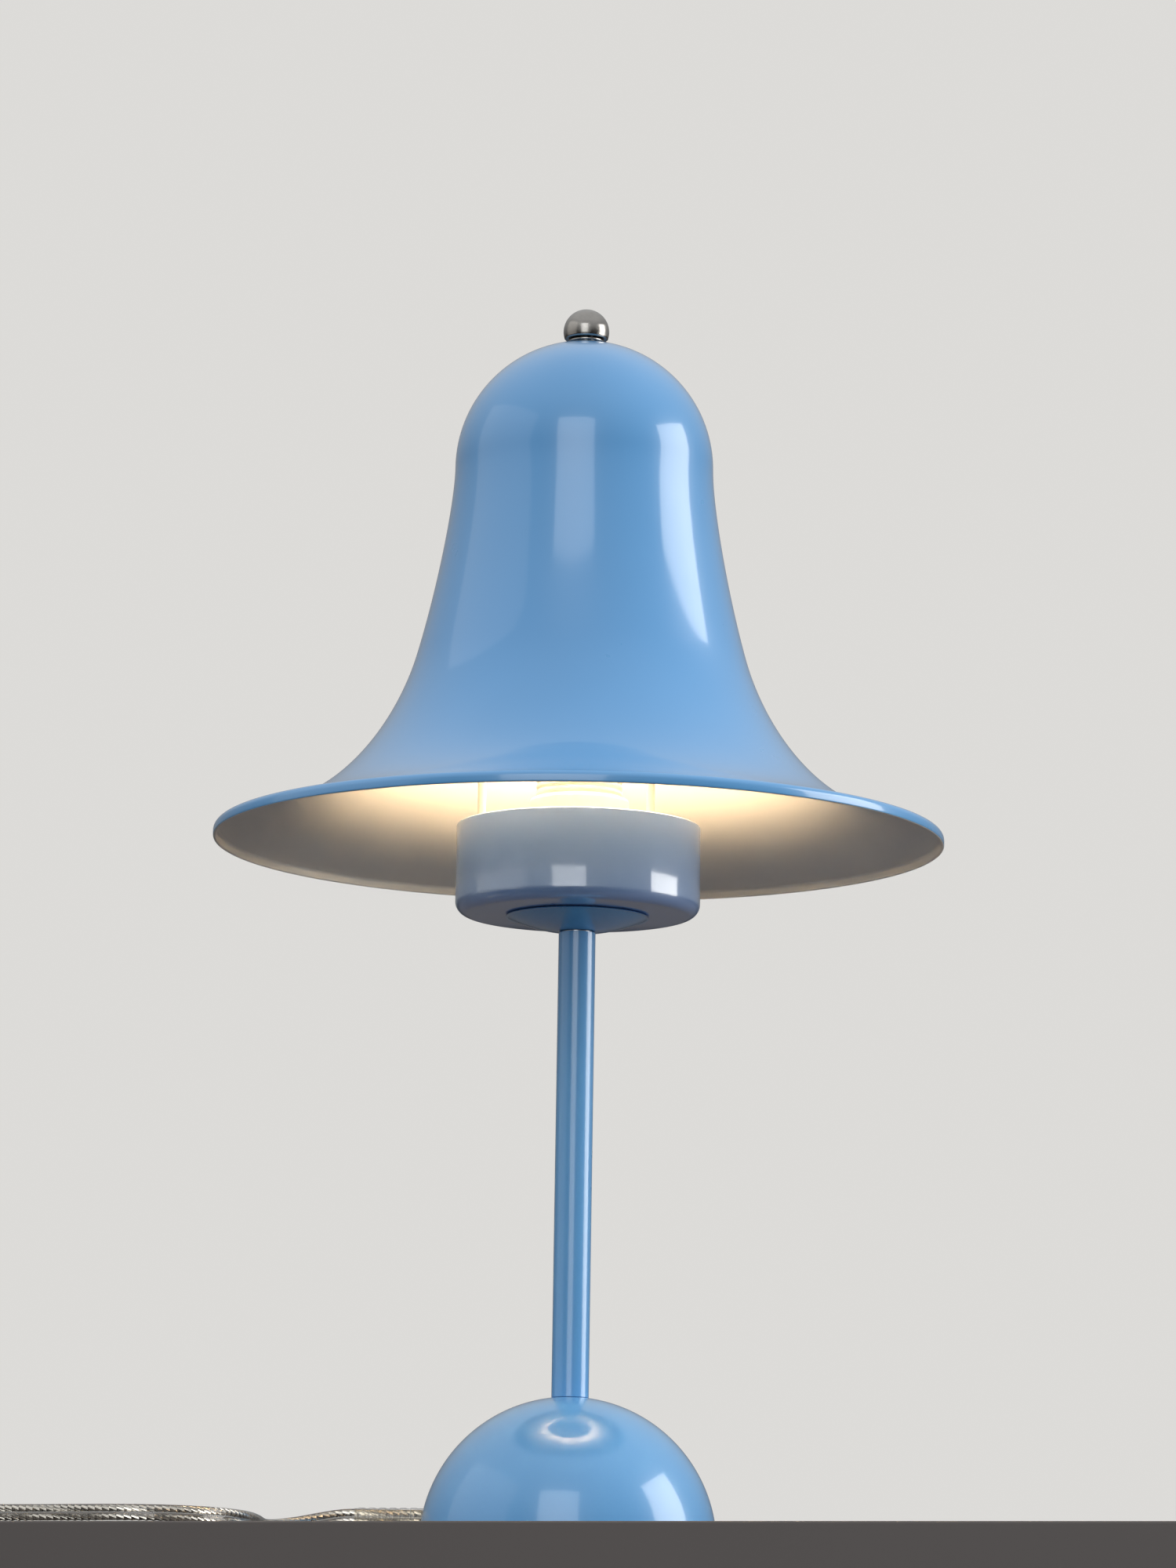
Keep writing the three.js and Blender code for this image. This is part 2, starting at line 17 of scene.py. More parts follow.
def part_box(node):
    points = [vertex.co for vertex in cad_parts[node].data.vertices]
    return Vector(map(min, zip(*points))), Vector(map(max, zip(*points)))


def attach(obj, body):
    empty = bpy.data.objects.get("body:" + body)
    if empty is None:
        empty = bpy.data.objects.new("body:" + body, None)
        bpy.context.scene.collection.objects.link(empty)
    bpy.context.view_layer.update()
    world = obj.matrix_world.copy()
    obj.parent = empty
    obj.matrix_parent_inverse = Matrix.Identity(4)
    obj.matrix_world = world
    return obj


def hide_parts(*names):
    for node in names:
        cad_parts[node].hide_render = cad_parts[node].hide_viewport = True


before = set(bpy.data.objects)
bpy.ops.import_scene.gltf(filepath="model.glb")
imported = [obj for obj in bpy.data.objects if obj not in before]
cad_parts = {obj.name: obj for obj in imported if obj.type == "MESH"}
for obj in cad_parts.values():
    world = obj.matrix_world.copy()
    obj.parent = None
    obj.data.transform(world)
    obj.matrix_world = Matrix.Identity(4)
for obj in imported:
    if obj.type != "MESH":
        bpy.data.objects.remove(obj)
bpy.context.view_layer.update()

LOG = logging.getLogger("lamp")
JOIN = 2e-6  # points closer than this are one point

Point2 = tuple[float, float]
Point3 = tuple[float, float, float]
Colour = tuple[float, float, float]
Outline = list[Point2]


class Body(str, Enum):
    """The bodies that move on their own."""

    LAMP = "lamp"
    SHADE = "shade"
    FINIAL_WASHER = "finial_washer"
    FINIAL = "finial"
    BULB_CONTACT = "bulb_contact"
    BULB = "bulb"
    ROCKER = "rocker"


class Slot(str, Enum):
    """The finishes that the lamp is delivered in."""

    BLUE_LACQUER = "blue_lacquer"
    WHITE_LACQUER = "white_lacquer"
    BRUSHED_STEEL = "brushed_steel"
    ZINC_STEEL = "zinc_steel"
    CAST_IRON = "cast_iron"
    WHITE_PLASTIC = "white_plastic"
    OPAL_PLASTIC = "opal_plastic"
    BRASS = "brass"
    BLACK_PLASTIC = "black_plastic"
    RUBBER = "rubber"
    CLEAR_PLASTIC = "clear_plastic"


class Axis(Enum):
    """The direction that a turned piece's own axis is laid along."""

    UP = (0.0, 0.0, 0.0)
    ALONG_Y = (-math.pi / 2, 0.0, 0.0)
    ALONG_MINUS_X = (0.0, -math.pi / 2, 0.0)


# ---- Finishes ---------------------------------------------------------------------------------


class NodeSheet:
    """A new material's node tree, with short ways to add and join nodes."""

    def __init__(self, name: str) -> None:
        """Starts the material.

        Args:
            name: The material's name.
        """
        self.material = bpy.data.materials.new(name)
        self.material.use_nodes = True
        self.tree = self.material.node_tree
        self.shader = self.tree.nodes["Principled BSDF"]
        self.place = self.tree.nodes.new("ShaderNodeTexCoord").outputs["Object"]

    def add(self, kind: str, **settings: object) -> bpy.types.Node:
        """Adds a node.

        Args:
            kind: The node's type, without its leading ShaderNode.
            settings: Properties of the node.

        Returns:
            The node.
        """
        node = self.tree.nodes.new("ShaderNode" + kind)
        for name, value in settings.items():
            setattr(node, name, value)
        return node

    def join(self, source: bpy.types.NodeSocket, target: bpy.types.NodeSocket) -> None:
        """Joins an output to an input."""
        self.tree.links.new(source, target)

    def noise(self, size: float, stretch: Point3 = (1, 1, 1), detail: float = 3) -> bpy.types.NodeSocket:
        """A cloudy pattern in the piece's own space.

        Args:
            size: Size of its clouds in metres.
            stretch: How many times finer it is along X, Y and Z.
            detail: How many finer clouds lie in each.

        Returns:
            The pattern, from 0 to 1.
        """
        mapping = self.add("Mapping")
        mapping.inputs["Scale"].default_value = stretch
        self.join(self.place, mapping.inputs["Vector"])
        texture = self.add("TexNoise")
        texture.inputs["Scale"].default_value = 1 / size
        texture.inputs["Detail"].default_value = detail
        self.join(mapping.outputs["Vector"], texture.inputs["Vector"])
        return texture.outputs["Fac"]

    def between(self, pattern: bpy.types.NodeSocket, low: Colour, high: Colour) -> bpy.types.NodeSocket:
        """A colour that a pattern moves between two others.

        Args:
            pattern: The pattern, from 0 to 1.
            low: The colour at its low places.
            high: The colour at its high places.

        Returns:
            The colour.
        """
        ramp = self.add("ValToRGB")
        ramp.color_ramp.elements[0].position = 0.3
        ramp.color_ramp.elements[0].color = (*low, 1)
        ramp.color_ramp.elements[1].position = 0.7
        ramp.color_ramp.elements[1].color = (*high, 1)
        self.join(pattern, ramp.inputs["Fac"])
        return ramp.outputs["Color"]

    def range(self, pattern: bpy.types.NodeSocket, low: float, high: float) -> bpy.types.NodeSocket:
        """A number that a pattern moves between two others.

        Args:
            pattern: The pattern, from 0 to 1.
            low: The number at its low places.
            high: The number at its high places.

        Returns:
            The number.
        """
        node = self.add("MapRange")
        node.inputs["From Min"].default_value = 0.25
        node.inputs["From Max"].default_value = 0.75
        node.inputs["To Min"].default_value = low
        node.inputs["To Max"].default_value = high
        self.join(pattern, node.inputs["Value"])
        return node.outputs["Result"]

    def relief(self, pattern: bpy.types.NodeSocket, depth: float, strength: float = 1.0) -> None:
        """Raises the surface by a pattern, on top of any relief before it.

        Args:
            pattern: The pattern, from 0 to 1.
            depth: Its height in metres.
            strength: How much of it shows.
        """
        bump = self.add("Bump")
        bump.inputs["Distance"].default_value = depth
        bump.inputs["Strength"].default_value = strength
        self.join(pattern, bump.inputs["Height"])
        before = self.shader.inputs["Normal"]
        if before.is_linked:
            self.join(before.links[0].from_socket, bump.inputs["Normal"])
        self.join(bump.outputs["Normal"], before)

    def set(self, **values: object) -> None:
        """Sets the shader's own sockets, their names in lower case with underscores."""
        names = {socket.name.lower().replace(" ", "_"): socket for socket in self.shader.inputs}
        for name, value in values.items():
            names[name].default_value = value


@dataclass(frozen=True)
class Finish:
    """What all finishes share: a colour that drifts a little, and a roughness that does."""

    name: str
    colour: Colour
    drift: float = 0.04
    cloud: float = 0.02
    roughness: float = 0.4
    roughness_drift: float = 0.05

    def make(self) -> bpy.types.Material:
        """Makes the material.

        Returns:
            The material.
        """
        sheet = NodeSheet(self.name)
        low = tuple(channel * (1 - self.drift) for channel in self.colour)
        high = tuple(min(channel * (1 + self.drift), 1.0) for channel in self.colour)
        sheet.join(sheet.between(sheet.noise(self.cloud), low, high), sheet.shader.inputs["Base Color"])
        rough = sheet.range(sheet.noise(self.cloud / 3, detail=5), self.roughness - self.roughness_drift,
                            self.roughness + self.roughness_drift)
        sheet.join(rough, sheet.shader.inputs["Roughness"])
        self.detail(sheet)
        return sheet.material

    def detail(self, sheet: NodeSheet) -> None:
        """Adds what is this finish's own.

        Args:
            sheet: The material's node tree.
        """


@dataclass(frozen=True)
class Lacquer(Finish):
    """Sprayed lacquer under a clear coat, with a faint orange peel."""

    coat: float = 1.0
    coat_roughness: float = 0.09
    coat_ior: float = 1.5
    peel: float = 0.003
    peel_depth: float = 0.000006

    def detail(self, sheet: NodeSheet) -> None:
        """Adds the clear coat and the orange peel.

        Args:
            sheet: The material's node tree.
        """
        sheet.set(coat_weight=self.coat, coat_roughness=self.coat_roughness, coat_ior=self.coat_ior)
        sheet.relief(sheet.noise(self.peel, detail=1), self.peel_depth)


@dataclass(frozen=True)
class BrushedMetal(Finish):
    """Metal brushed round its axis, so that its reflections draw out into upright bands."""

    line: float = 0.004
    fineness: float = 26.0
    line_depth: float = 0.00001
    anisotropy: float = 0.0

    def detail(self, sheet: NodeSheet) -> None:
        """Adds the metal and its fine level lines.

        Args:
            sheet: The material's node tree.
        """
        sheet.set(metallic=1.0, anisotropic=self.anisotropy)
        lines = sheet.noise(self.line, (1, 1, self.fineness), detail=4)
        sheet.relief(lines, self.line_depth)
        if self.anisotropy:
            tangent = sheet.add("Tangent", direction_type="RADIAL", axis="Z")
            sheet.join(tangent.outputs["Tangent"], sheet.shader.inputs["Tangent"])


@dataclass(frozen=True)
class PlatedMetal(Finish):
    """Plated or drawn metal with a mottled sheen."""

    grain: float = 0.0008
    grain_depth: float = 0.00002

    def detail(self, sheet: NodeSheet) -> None:
        """Adds the metal and its fine grain.

        Args:
            sheet: The material's node tree.
        """
        sheet.set(metallic=1.0)
        sheet.relief(sheet.noise(self.grain, detail=3), self.grain_depth)


@dataclass(frozen=True)
class CastMetal(Finish):
    """Sand-cast iron: dark, pitted and rough."""

    pit: float = 0.0022
    pit_depth: float = 0.0003

    def detail(self, sheet: NodeSheet) -> None:
        """Adds the pits of the sand mould.

        Args:
            sheet: The material's node tree.
        """
        sheet.set(metallic=0.7)
        sheet.relief(sheet.noise(self.pit, detail=6), self.pit_depth)
        sheet.relief(sheet.noise(self.pit * 5, detail=2), self.pit_depth)


@dataclass(frozen=True)
class MouldedPlastic(Finish):
    """Moulded plastic or rubber with the mould's fine spark texture."""

    spark: float = 0.0006
    spark_depth: float = 0.00002
    softness: float = 0.0
    depth_colour: Colour = (1.0, 0.8, 0.6)

    def detail(self, sheet: NodeSheet) -> None:
        """Adds the spark texture, and light that enters a little way.

        Args:
            sheet: The material's node tree.
        """
        sheet.set(subsurface_weight=self.softness, subsurface_radius=self.depth_colour)
        sheet.set(subsurface_scale=0.002)
        sheet.relief(sheet.noise(self.spark, detail=2), self.spark_depth)


@dataclass(frozen=True)
class OpalGlow(MouldedPlastic):
    """The lit bulb's opal shell, its glow a little uneven."""

    light: Colour = (1.0, 0.75, 0.48)
    strength: float = 52.0

    def detail(self, sheet: NodeSheet) -> None:
        """Adds the glow to the plastic.

        Args:
            sheet: The material's node tree.
        """
        super().detail(sheet)
        sheet.set(emission_color=(*self.light, 1))
        glow = sheet.range(sheet.noise(self.cloud, detail=1), self.strength * 0.94, self.strength * 1.06)
        sheet.join(glow, sheet.shader.inputs["Emission Strength"])


@dataclass(frozen=True)
class ClearPlastic(Finish):
    """Clear soft plastic, faintly warm, with a slightly uneven surface."""

    wave: float = 0.006
    wave_depth: float = 0.0001

    def detail(self, sheet: NodeSheet) -> None:
        """Lets light through and adds the uneven surface.

        Args:
            sheet: The material's node tree.
        """
        sheet.set(transmission_weight=1.0, ior=1.47)
        sheet.relief(sheet.noise(self.wave, detail=1), self.wave_depth)


class Finishes:
    """The lamp's materials, each made once and shared by the pieces that wear it."""

    def __init__(self) -> None:
        """Makes them all."""
        self.blue = Lacquer("blue lacquer", (0.125, 0.395, 0.77), 0.012, 0.05, 0.3, 0.03).make()
        # Painted light: the cup wears the shade's blue lacquer made paler and warmer, painted bulb light in
        # its base colour; its coat IOR is also raised above the shade's.
        self.cup_blue = Lacquer("blue lacquer on the cup", (0.23, 0.385, 0.73), 0.012, 0.05, 0.3, 0.03,
                                coat_roughness=0.08, coat_ior=1.95).make()
        self.white = Lacquer("white lacquer inside", (0.86, 0.83, 0.77), 0.02, 0.04, 0.42, 0.05,
                             coat=0.25, coat_roughness=0.25).make()
        self.steel = BrushedMetal("brushed steel", (0.36, 0.345, 0.325), 0.06, 0.003, 0.2, 0.05,
                                  anisotropy=0.8).make()
        self.zinc = PlatedMetal("zinc-plated steel", (0.62, 0.64, 0.66), 0.08, 0.003, 0.36, 0.1).make()
        self.pin_metal = PlatedMetal("nickel-plated brass", (0.7, 0.67, 0.6), 0.05, 0.003, 0.22, 0.06).make()
        self.strand = PlatedMetal("tinned copper strands", (0.8, 0.77, 0.72), 0.08, 0.002, 0.24, 0.06).make()
        self.iron = CastMetal("cast iron", (0.06, 0.06, 0.065), 0.3, 0.006, 0.75, 0.12).make()
        self.brass = PlatedMetal("brass", (0.78, 0.56, 0.24), 0.08, 0.003, 0.3, 0.08).make()
        self.plastic = MouldedPlastic("white plastic", (0.83, 0.82, 0.78), 0.015, 0.01, 0.36, 0.05,
                                      softness=0.15).make()
        self.black = MouldedPlastic("black plastic", (0.018, 0.018, 0.02), 0.15, 0.004, 0.45, 0.08).make()
        self.rubber = MouldedPlastic("dark rubber", (0.03, 0.03, 0.032), 0.2, 0.003, 0.8, 0.1,
                                     spark=0.0011, spark_depth=0.00012).make()
        self.opal = OpalGlow("lit opal shell", (0.9, 0.88, 0.84), 0.01, 0.02, 0.35, 0.04).make()
        self.clear = ClearPlastic("clear flex plastic", (0.93, 0.91, 0.86), 0.02, 0.006, 0.07, 0.03).make()


# ---- Outlines ---------------------------------------------------------------------------------


def arc(centre: Point2, radius: float, start: float, end: float, steps: int) -> Outline:
    """Points round an arc.

    Args:
        centre: Its centre, as radius and height.
        radius: Its radius.
        start: Angle of its first point in degrees, from the direction of growing radius.
        end: Angle of its last point.
        steps: Number of straight steps.

    Returns:
        The points, both ends included.
    """
    angles = (math.radians(start + (end - start) * i / steps) for i in range(steps + 1))
    return [(centre[0] + radius * math.cos(a), centre[1] + radius * math.sin(a)) for a in angles]


def bezier(corners: Sequence[Point2], steps: int) -> Outline:
    """Points along a cubic curve.

    Args:
        corners: Its four control points.
        steps: Number of straight steps.

    Returns:
        The points, both ends included.
    """
    points = []
    for i in range(steps + 1):
        t = i / steps
        weights = ((1 - t) ** 3, 3 * t * (1 - t) ** 2, 3 * t * t * (1 - t), t**3)
        points.append(tuple(sum(w * c[k] for w, c in zip(weights, corners)) for k in (0, 1)))
    return points


def offset_left(points: Outline, distance: float) -> Outline:
    """Moves an open outline to its left, square to itself.

    Args:
        points: The outline.
        distance: How far it moves.

    Returns:
        The moved outline.
    """
    moved = []
    for i, (radius, height) in enumerate(points):
        before = points[max(i - 1, 0)]
        after = points[min(i + 1, len(points) - 1)]
        along = Vector((after[0] - before[0], after[1] - before[1])).normalized()
        moved.append((radius - along.y * distance, height + along.x * distance))
    return moved


def ring_outline(bore: float, outer: float, low: float, high: float, chamfer: float = 0.0002) -> Outline:
    """The closed outline of a plain ring with its outer edges broken.

    Args:
        bore: Radius of its hole.
        outer: Its outer radius.
        low: Height of its underside.
        high: Height of its top.
        chamfer: Width of the broken edges.

    Returns:
        The outline, its first point repeated at the end.
    """
    return [(bore, low), (outer - chamfer, low), (outer, low + chamfer), (outer, high - chamfer),
            (outer - chamfer, high), (bore, high), (bore, low)]


def thread(radius: float, low: float, high: float, pitch: float, depth: float) -> Outline:
    """The crests and roots of a screw thread, from low to high.

    Args:
        radius: Radius at the crests.
        low: Height of its start.
        high: Height of its end.
        pitch: Distance from crest to crest.
        depth: Depth of the roots.

    Returns:
        The points.
    """
    turns = int((high - low) / pitch)
    shares = ((0.0, depth), (0.2, depth), (0.45, 0.0), (0.75, 0.0))
    return [(radius - sunk, low + (turn + share) * pitch) for turn in range(turns) for share, sunk in shares]


# ---- Bench work -------------------------------------------------------------------------------


def clear_selection() -> None:
    """Leaves edit mode and selects nothing."""
    if bpy.context.mode != "OBJECT":
        bpy.ops.object.mode_set(mode="OBJECT")
    bpy.ops.object.select_all(action="DESELECT")


def pick(piece: bpy.types.Object) -> None:
    """Makes a piece the only selected and active one."""
    clear_selection()
    piece.select_set(True)
    bpy.context.view_layer.objects.active = piece


def start_line(name: str, first: Point3) -> bpy.types.Object:
    """Starts a new piece as one point in edit mode.

    Args:
        name: The piece's name.
        first: The point.

    Returns:
        The piece.
    """
    clear_selection()
    bpy.ops.mesh.primitive_plane_add(size=0.001)
    piece = bpy.context.object
    piece.name = name
    piece.data.name = name
    bpy.ops.object.mode_set(mode="EDIT")
    bpy.ops.mesh.select_all(action="SELECT")
    bpy.ops.mesh.merge(type="CENTER")
    bpy.ops.transform.translate(value=first)
    return piece


def draw_line(points: Sequence[Point3]) -> None:
    """Extrudes the one selected point from the first of these points to the last."""
    for here, there in zip(points, points[1:]):
        step = tuple(b - a for a, b in zip(here, there))
        bpy.ops.mesh.extrude_region_move(TRANSFORM_OT_translate={"value": step})


def close_up() -> None:
    """Merges doubled points, turns all faces outwards and leaves edit mode."""
    bpy.ops.mesh.select_all(action="SELECT")
    bpy.ops.mesh.remove_doubles(threshold=JOIN)
    bpy.ops.mesh.normals_make_consistent(inside=False)
    bpy.ops.object.mode_set(mode="OBJECT")


def lay(piece: bpy.types.Object, place: Point3 = (0, 0, 0), turn: Point3 = (0, 0, 0)) -> None:
    """Turns and moves a piece, and fixes its place in its mesh.

    Args:
        piece: The piece.
        place: Where its origin goes.
        turn: Its turn about X, Y and Z in radians.
    """
    pick(piece)
    piece.rotation_euler = turn
    piece.location = place
    bpy.ops.object.transform_apply(location=True, rotation=True, scale=True)


def turned(name: str, outline: Outline, steps: int = 96, place: Point3 = (0, 0, 0),
           axis: Axis = Axis.UP) -> bpy.types.Object:
    """Turns an outline into a round piece, as on a lathe.

    Args:
        name: The piece's name.
        outline: Points of radius and height, from axis to axis or back to the first.
        steps: Number of steps round.
        place: Where the axis starts.
        axis: The direction of the axis.

    Returns:
        The piece.
    """
    points = [(radius, 0.0, height) for radius, height in outline]
    piece = start_line(name, points[0])
    draw_line(points)
    bpy.ops.mesh.select_all(action="SELECT")
    bpy.ops.mesh.remove_doubles(threshold=JOIN)
    bpy.ops.mesh.spin(steps=steps, angle=math.tau, center=(0, 0, 0), axis=(0, 0, 1))
    close_up()
    if axis is not Axis.UP or any(place):
        lay(piece, place, axis.value)
    return piece


def prism(name: str, outline: Sequence[Point3], run: Point3) -> bpy.types.Object:
    """Draws a flat closed outline and extrudes it.

    Args:
        name: The piece's name.
        outline: Its corners, in order.
        run: How far and which way it is extruded.

    Returns:
        The piece.
    """
    piece = start_line(name, outline[0])
    draw_line(outline)
    bpy.ops.mesh.select_all(action="SELECT")
    bpy.ops.mesh.edge_face_add()
    bpy.ops.mesh.extrude_region_move(TRANSFORM_OT_translate={"value": run})
    close_up()
    return piece


def block(name: str, low: Point3, high: Point3) -> bpy.types.Object:
    """A plain block, the start of a piece or a cutter.

    Args:
        name: Its name.
        low: Its lowest corner.
        high: Its highest corner.

    Returns:
        The block.
    """
    clear_selection()
    centre = [(a + b) / 2 for a, b in zip(low, high)]
    bpy.ops.mesh.primitive_cube_add(size=1, location=centre, scale=[b - a for a, b in zip(low, high)])
    piece = bpy.context.object
    piece.name = name
    piece.data.name = name
    bpy.ops.object.transform_apply(location=True, rotation=True, scale=True)
    return piece


def bevel_edges(piece: bpy.types.Object, width: float, segments: int,
                wanted: Callable[[Vector, Vector], bool]) -> None:
    """Rounds the edges that a test picks.

    Args:
        piece: The piece.
        width: Width of the rounding.
        segments: Number of steps in it.
        wanted: Says of an edge's two ends whether it is rounded.
    """
    pick(piece)
    bpy.ops.object.mode_set(mode="EDIT")
    bpy.ops.mesh.select_mode(type="EDGE")
    bpy.ops.mesh.select_all(action="DESELECT")
    bpy.ops.object.mode_set(mode="OBJECT")
    points = piece.data.vertices
    for edge in piece.data.edges:
        edge.select = wanted(points[edge.vertices[0]].co, points[edge.vertices[1]].co)
    bpy.ops.object.mode_set(mode="EDIT")
    bpy.ops.mesh.bevel(offset=width, segments=segments, profile=0.5)
    bpy.ops.mesh.select_mode(type="VERT")
    close_up()


def apply_modifier(piece: bpy.types.Object, kind: str, **settings: object) -> None:
    """Adds a modifier and applies it.

    Args:
        piece: The piece.
        kind: The modifier's type.
        settings: Its properties.
    """
    pick(piece)
    modifier = piece.modifiers.new(kind.lower(), kind)
    for name, value in settings.items():
        setattr(modifier, name, value)
    bpy.ops.object.modifier_apply(modifier=modifier.name)


def cut(piece: bpy.types.Object, *cutters: bpy.types.Object) -> None:
    """Cuts each cutter out of a piece and throws the cutter away."""
    for cutter in cutters:
        apply_modifier(piece, "BOOLEAN", operation="DIFFERENCE", solver="EXACT", object=cutter)
        bpy.data.objects.remove(cutter)


def join(piece: bpy.types.Object, *others: bpy.types.Object) -> None:
    """Joins other meshes into a piece, each left whole inside it."""
    pick(piece)
    for other in others:
        other.select_set(True)
    bpy.ops.object.join()


def paint(piece: bpy.types.Object, index: int, wanted: Callable[[Vector, Vector], bool]) -> None:
    """Gives the faces that a test picks one of the piece's materials.

    Args:
        piece: The piece.
        index: The material's place in its list.
        wanted: Says of a face's centre and normal whether it gets it.
    """
    for face in piece.data.polygons:
        if wanted(face.center, face.normal):
            face.material_index = index


def hand_over(piece: bpy.types.Object, body: Body, materials: Sequence[bpy.types.Material],
              nodes: Iterable[str] = (), crease: float = 35) -> bpy.types.Object:
    """Smooths and dresses a finished piece, and puts it on its body in place of its plain nodes.

    Args:
        piece: The piece.
        body: The body that it rides on.
        materials: Its materials.
        nodes: The plain nodes that it stands for.
        crease: Edges sharper than this many degrees stay sharp.

    Returns:
        The piece.
    """
    pick(piece)
    bpy.ops.object.shade_smooth_by_angle(angle=math.radians(crease))
    for material in materials:
        piece.data.materials.append(material)
    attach(piece, body.value)
    if nodes:
        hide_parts(*nodes)
    LOG.info("%s: %d faces, rides on %s", piece.name, len(piece.data.polygons), body.value)
    return piece


def dress_node(node: str, material: bpy.types.Material) -> None:
    """Gives a plain node that stays its material.

    Args:
        node: The node's name.
        material: The material.
    """
    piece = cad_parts[node]
    if not piece.material_slots:
        piece.data.materials.append(material)
    for place in piece.material_slots:
        place.material = material
    LOG.info("%s: kept, %s", node, material.name)


def radius_of(node: str) -> float:
    """Half of a round node's width along X."""
    low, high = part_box(node)
    return (high.x - low.x) / 2


def ring_like(node: str, bore: float, steps: int = 64, chamfer: float = 0.0002) -> bpy.types.Object:
    """A ring that fills a round node's box.

    Args:
        node: The node.
        bore: Radius of the hole.
        steps: Number of steps round.
        chamfer: Width of the broken edges.

    Returns:
        The ring, named after the node.
    """
    low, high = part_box(node)
    outline = ring_outline(bore, radius_of(node), low.z, high.z, chamfer)
    return turned(node + "_turned", outline, steps)


def refined(node: str, width: float = 0.00025) -> bpy.types.Object:
    """A copy of a plain node with its doubled points merged and its edges broken.

    Args:
        node: The node.
        width: Width of the broken edges.

    Returns:
        The copy.
    """
    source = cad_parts[node]
    piece = bpy.data.objects.new(node + "_refined", source.data.copy())
    piece.data.materials.clear()
    bpy.context.scene.collection.objects.link(piece)
    pick(piece)
    bpy.ops.object.mode_set(mode="EDIT")
    bpy.ops.mesh.select_all(action="SELECT")
    bpy.ops.mesh.remove_doubles(threshold=JOIN)
    bpy.ops.mesh.dissolve_limited(angle_limit=math.radians(1))
    close_up()
    apply_modifier(piece, "BEVEL", width=width, segments=2, limit_method="ANGLE",
                   angle_limit=math.radians(50))
    return piece


# ---- Studio -----------------------------------------------------------------------------------


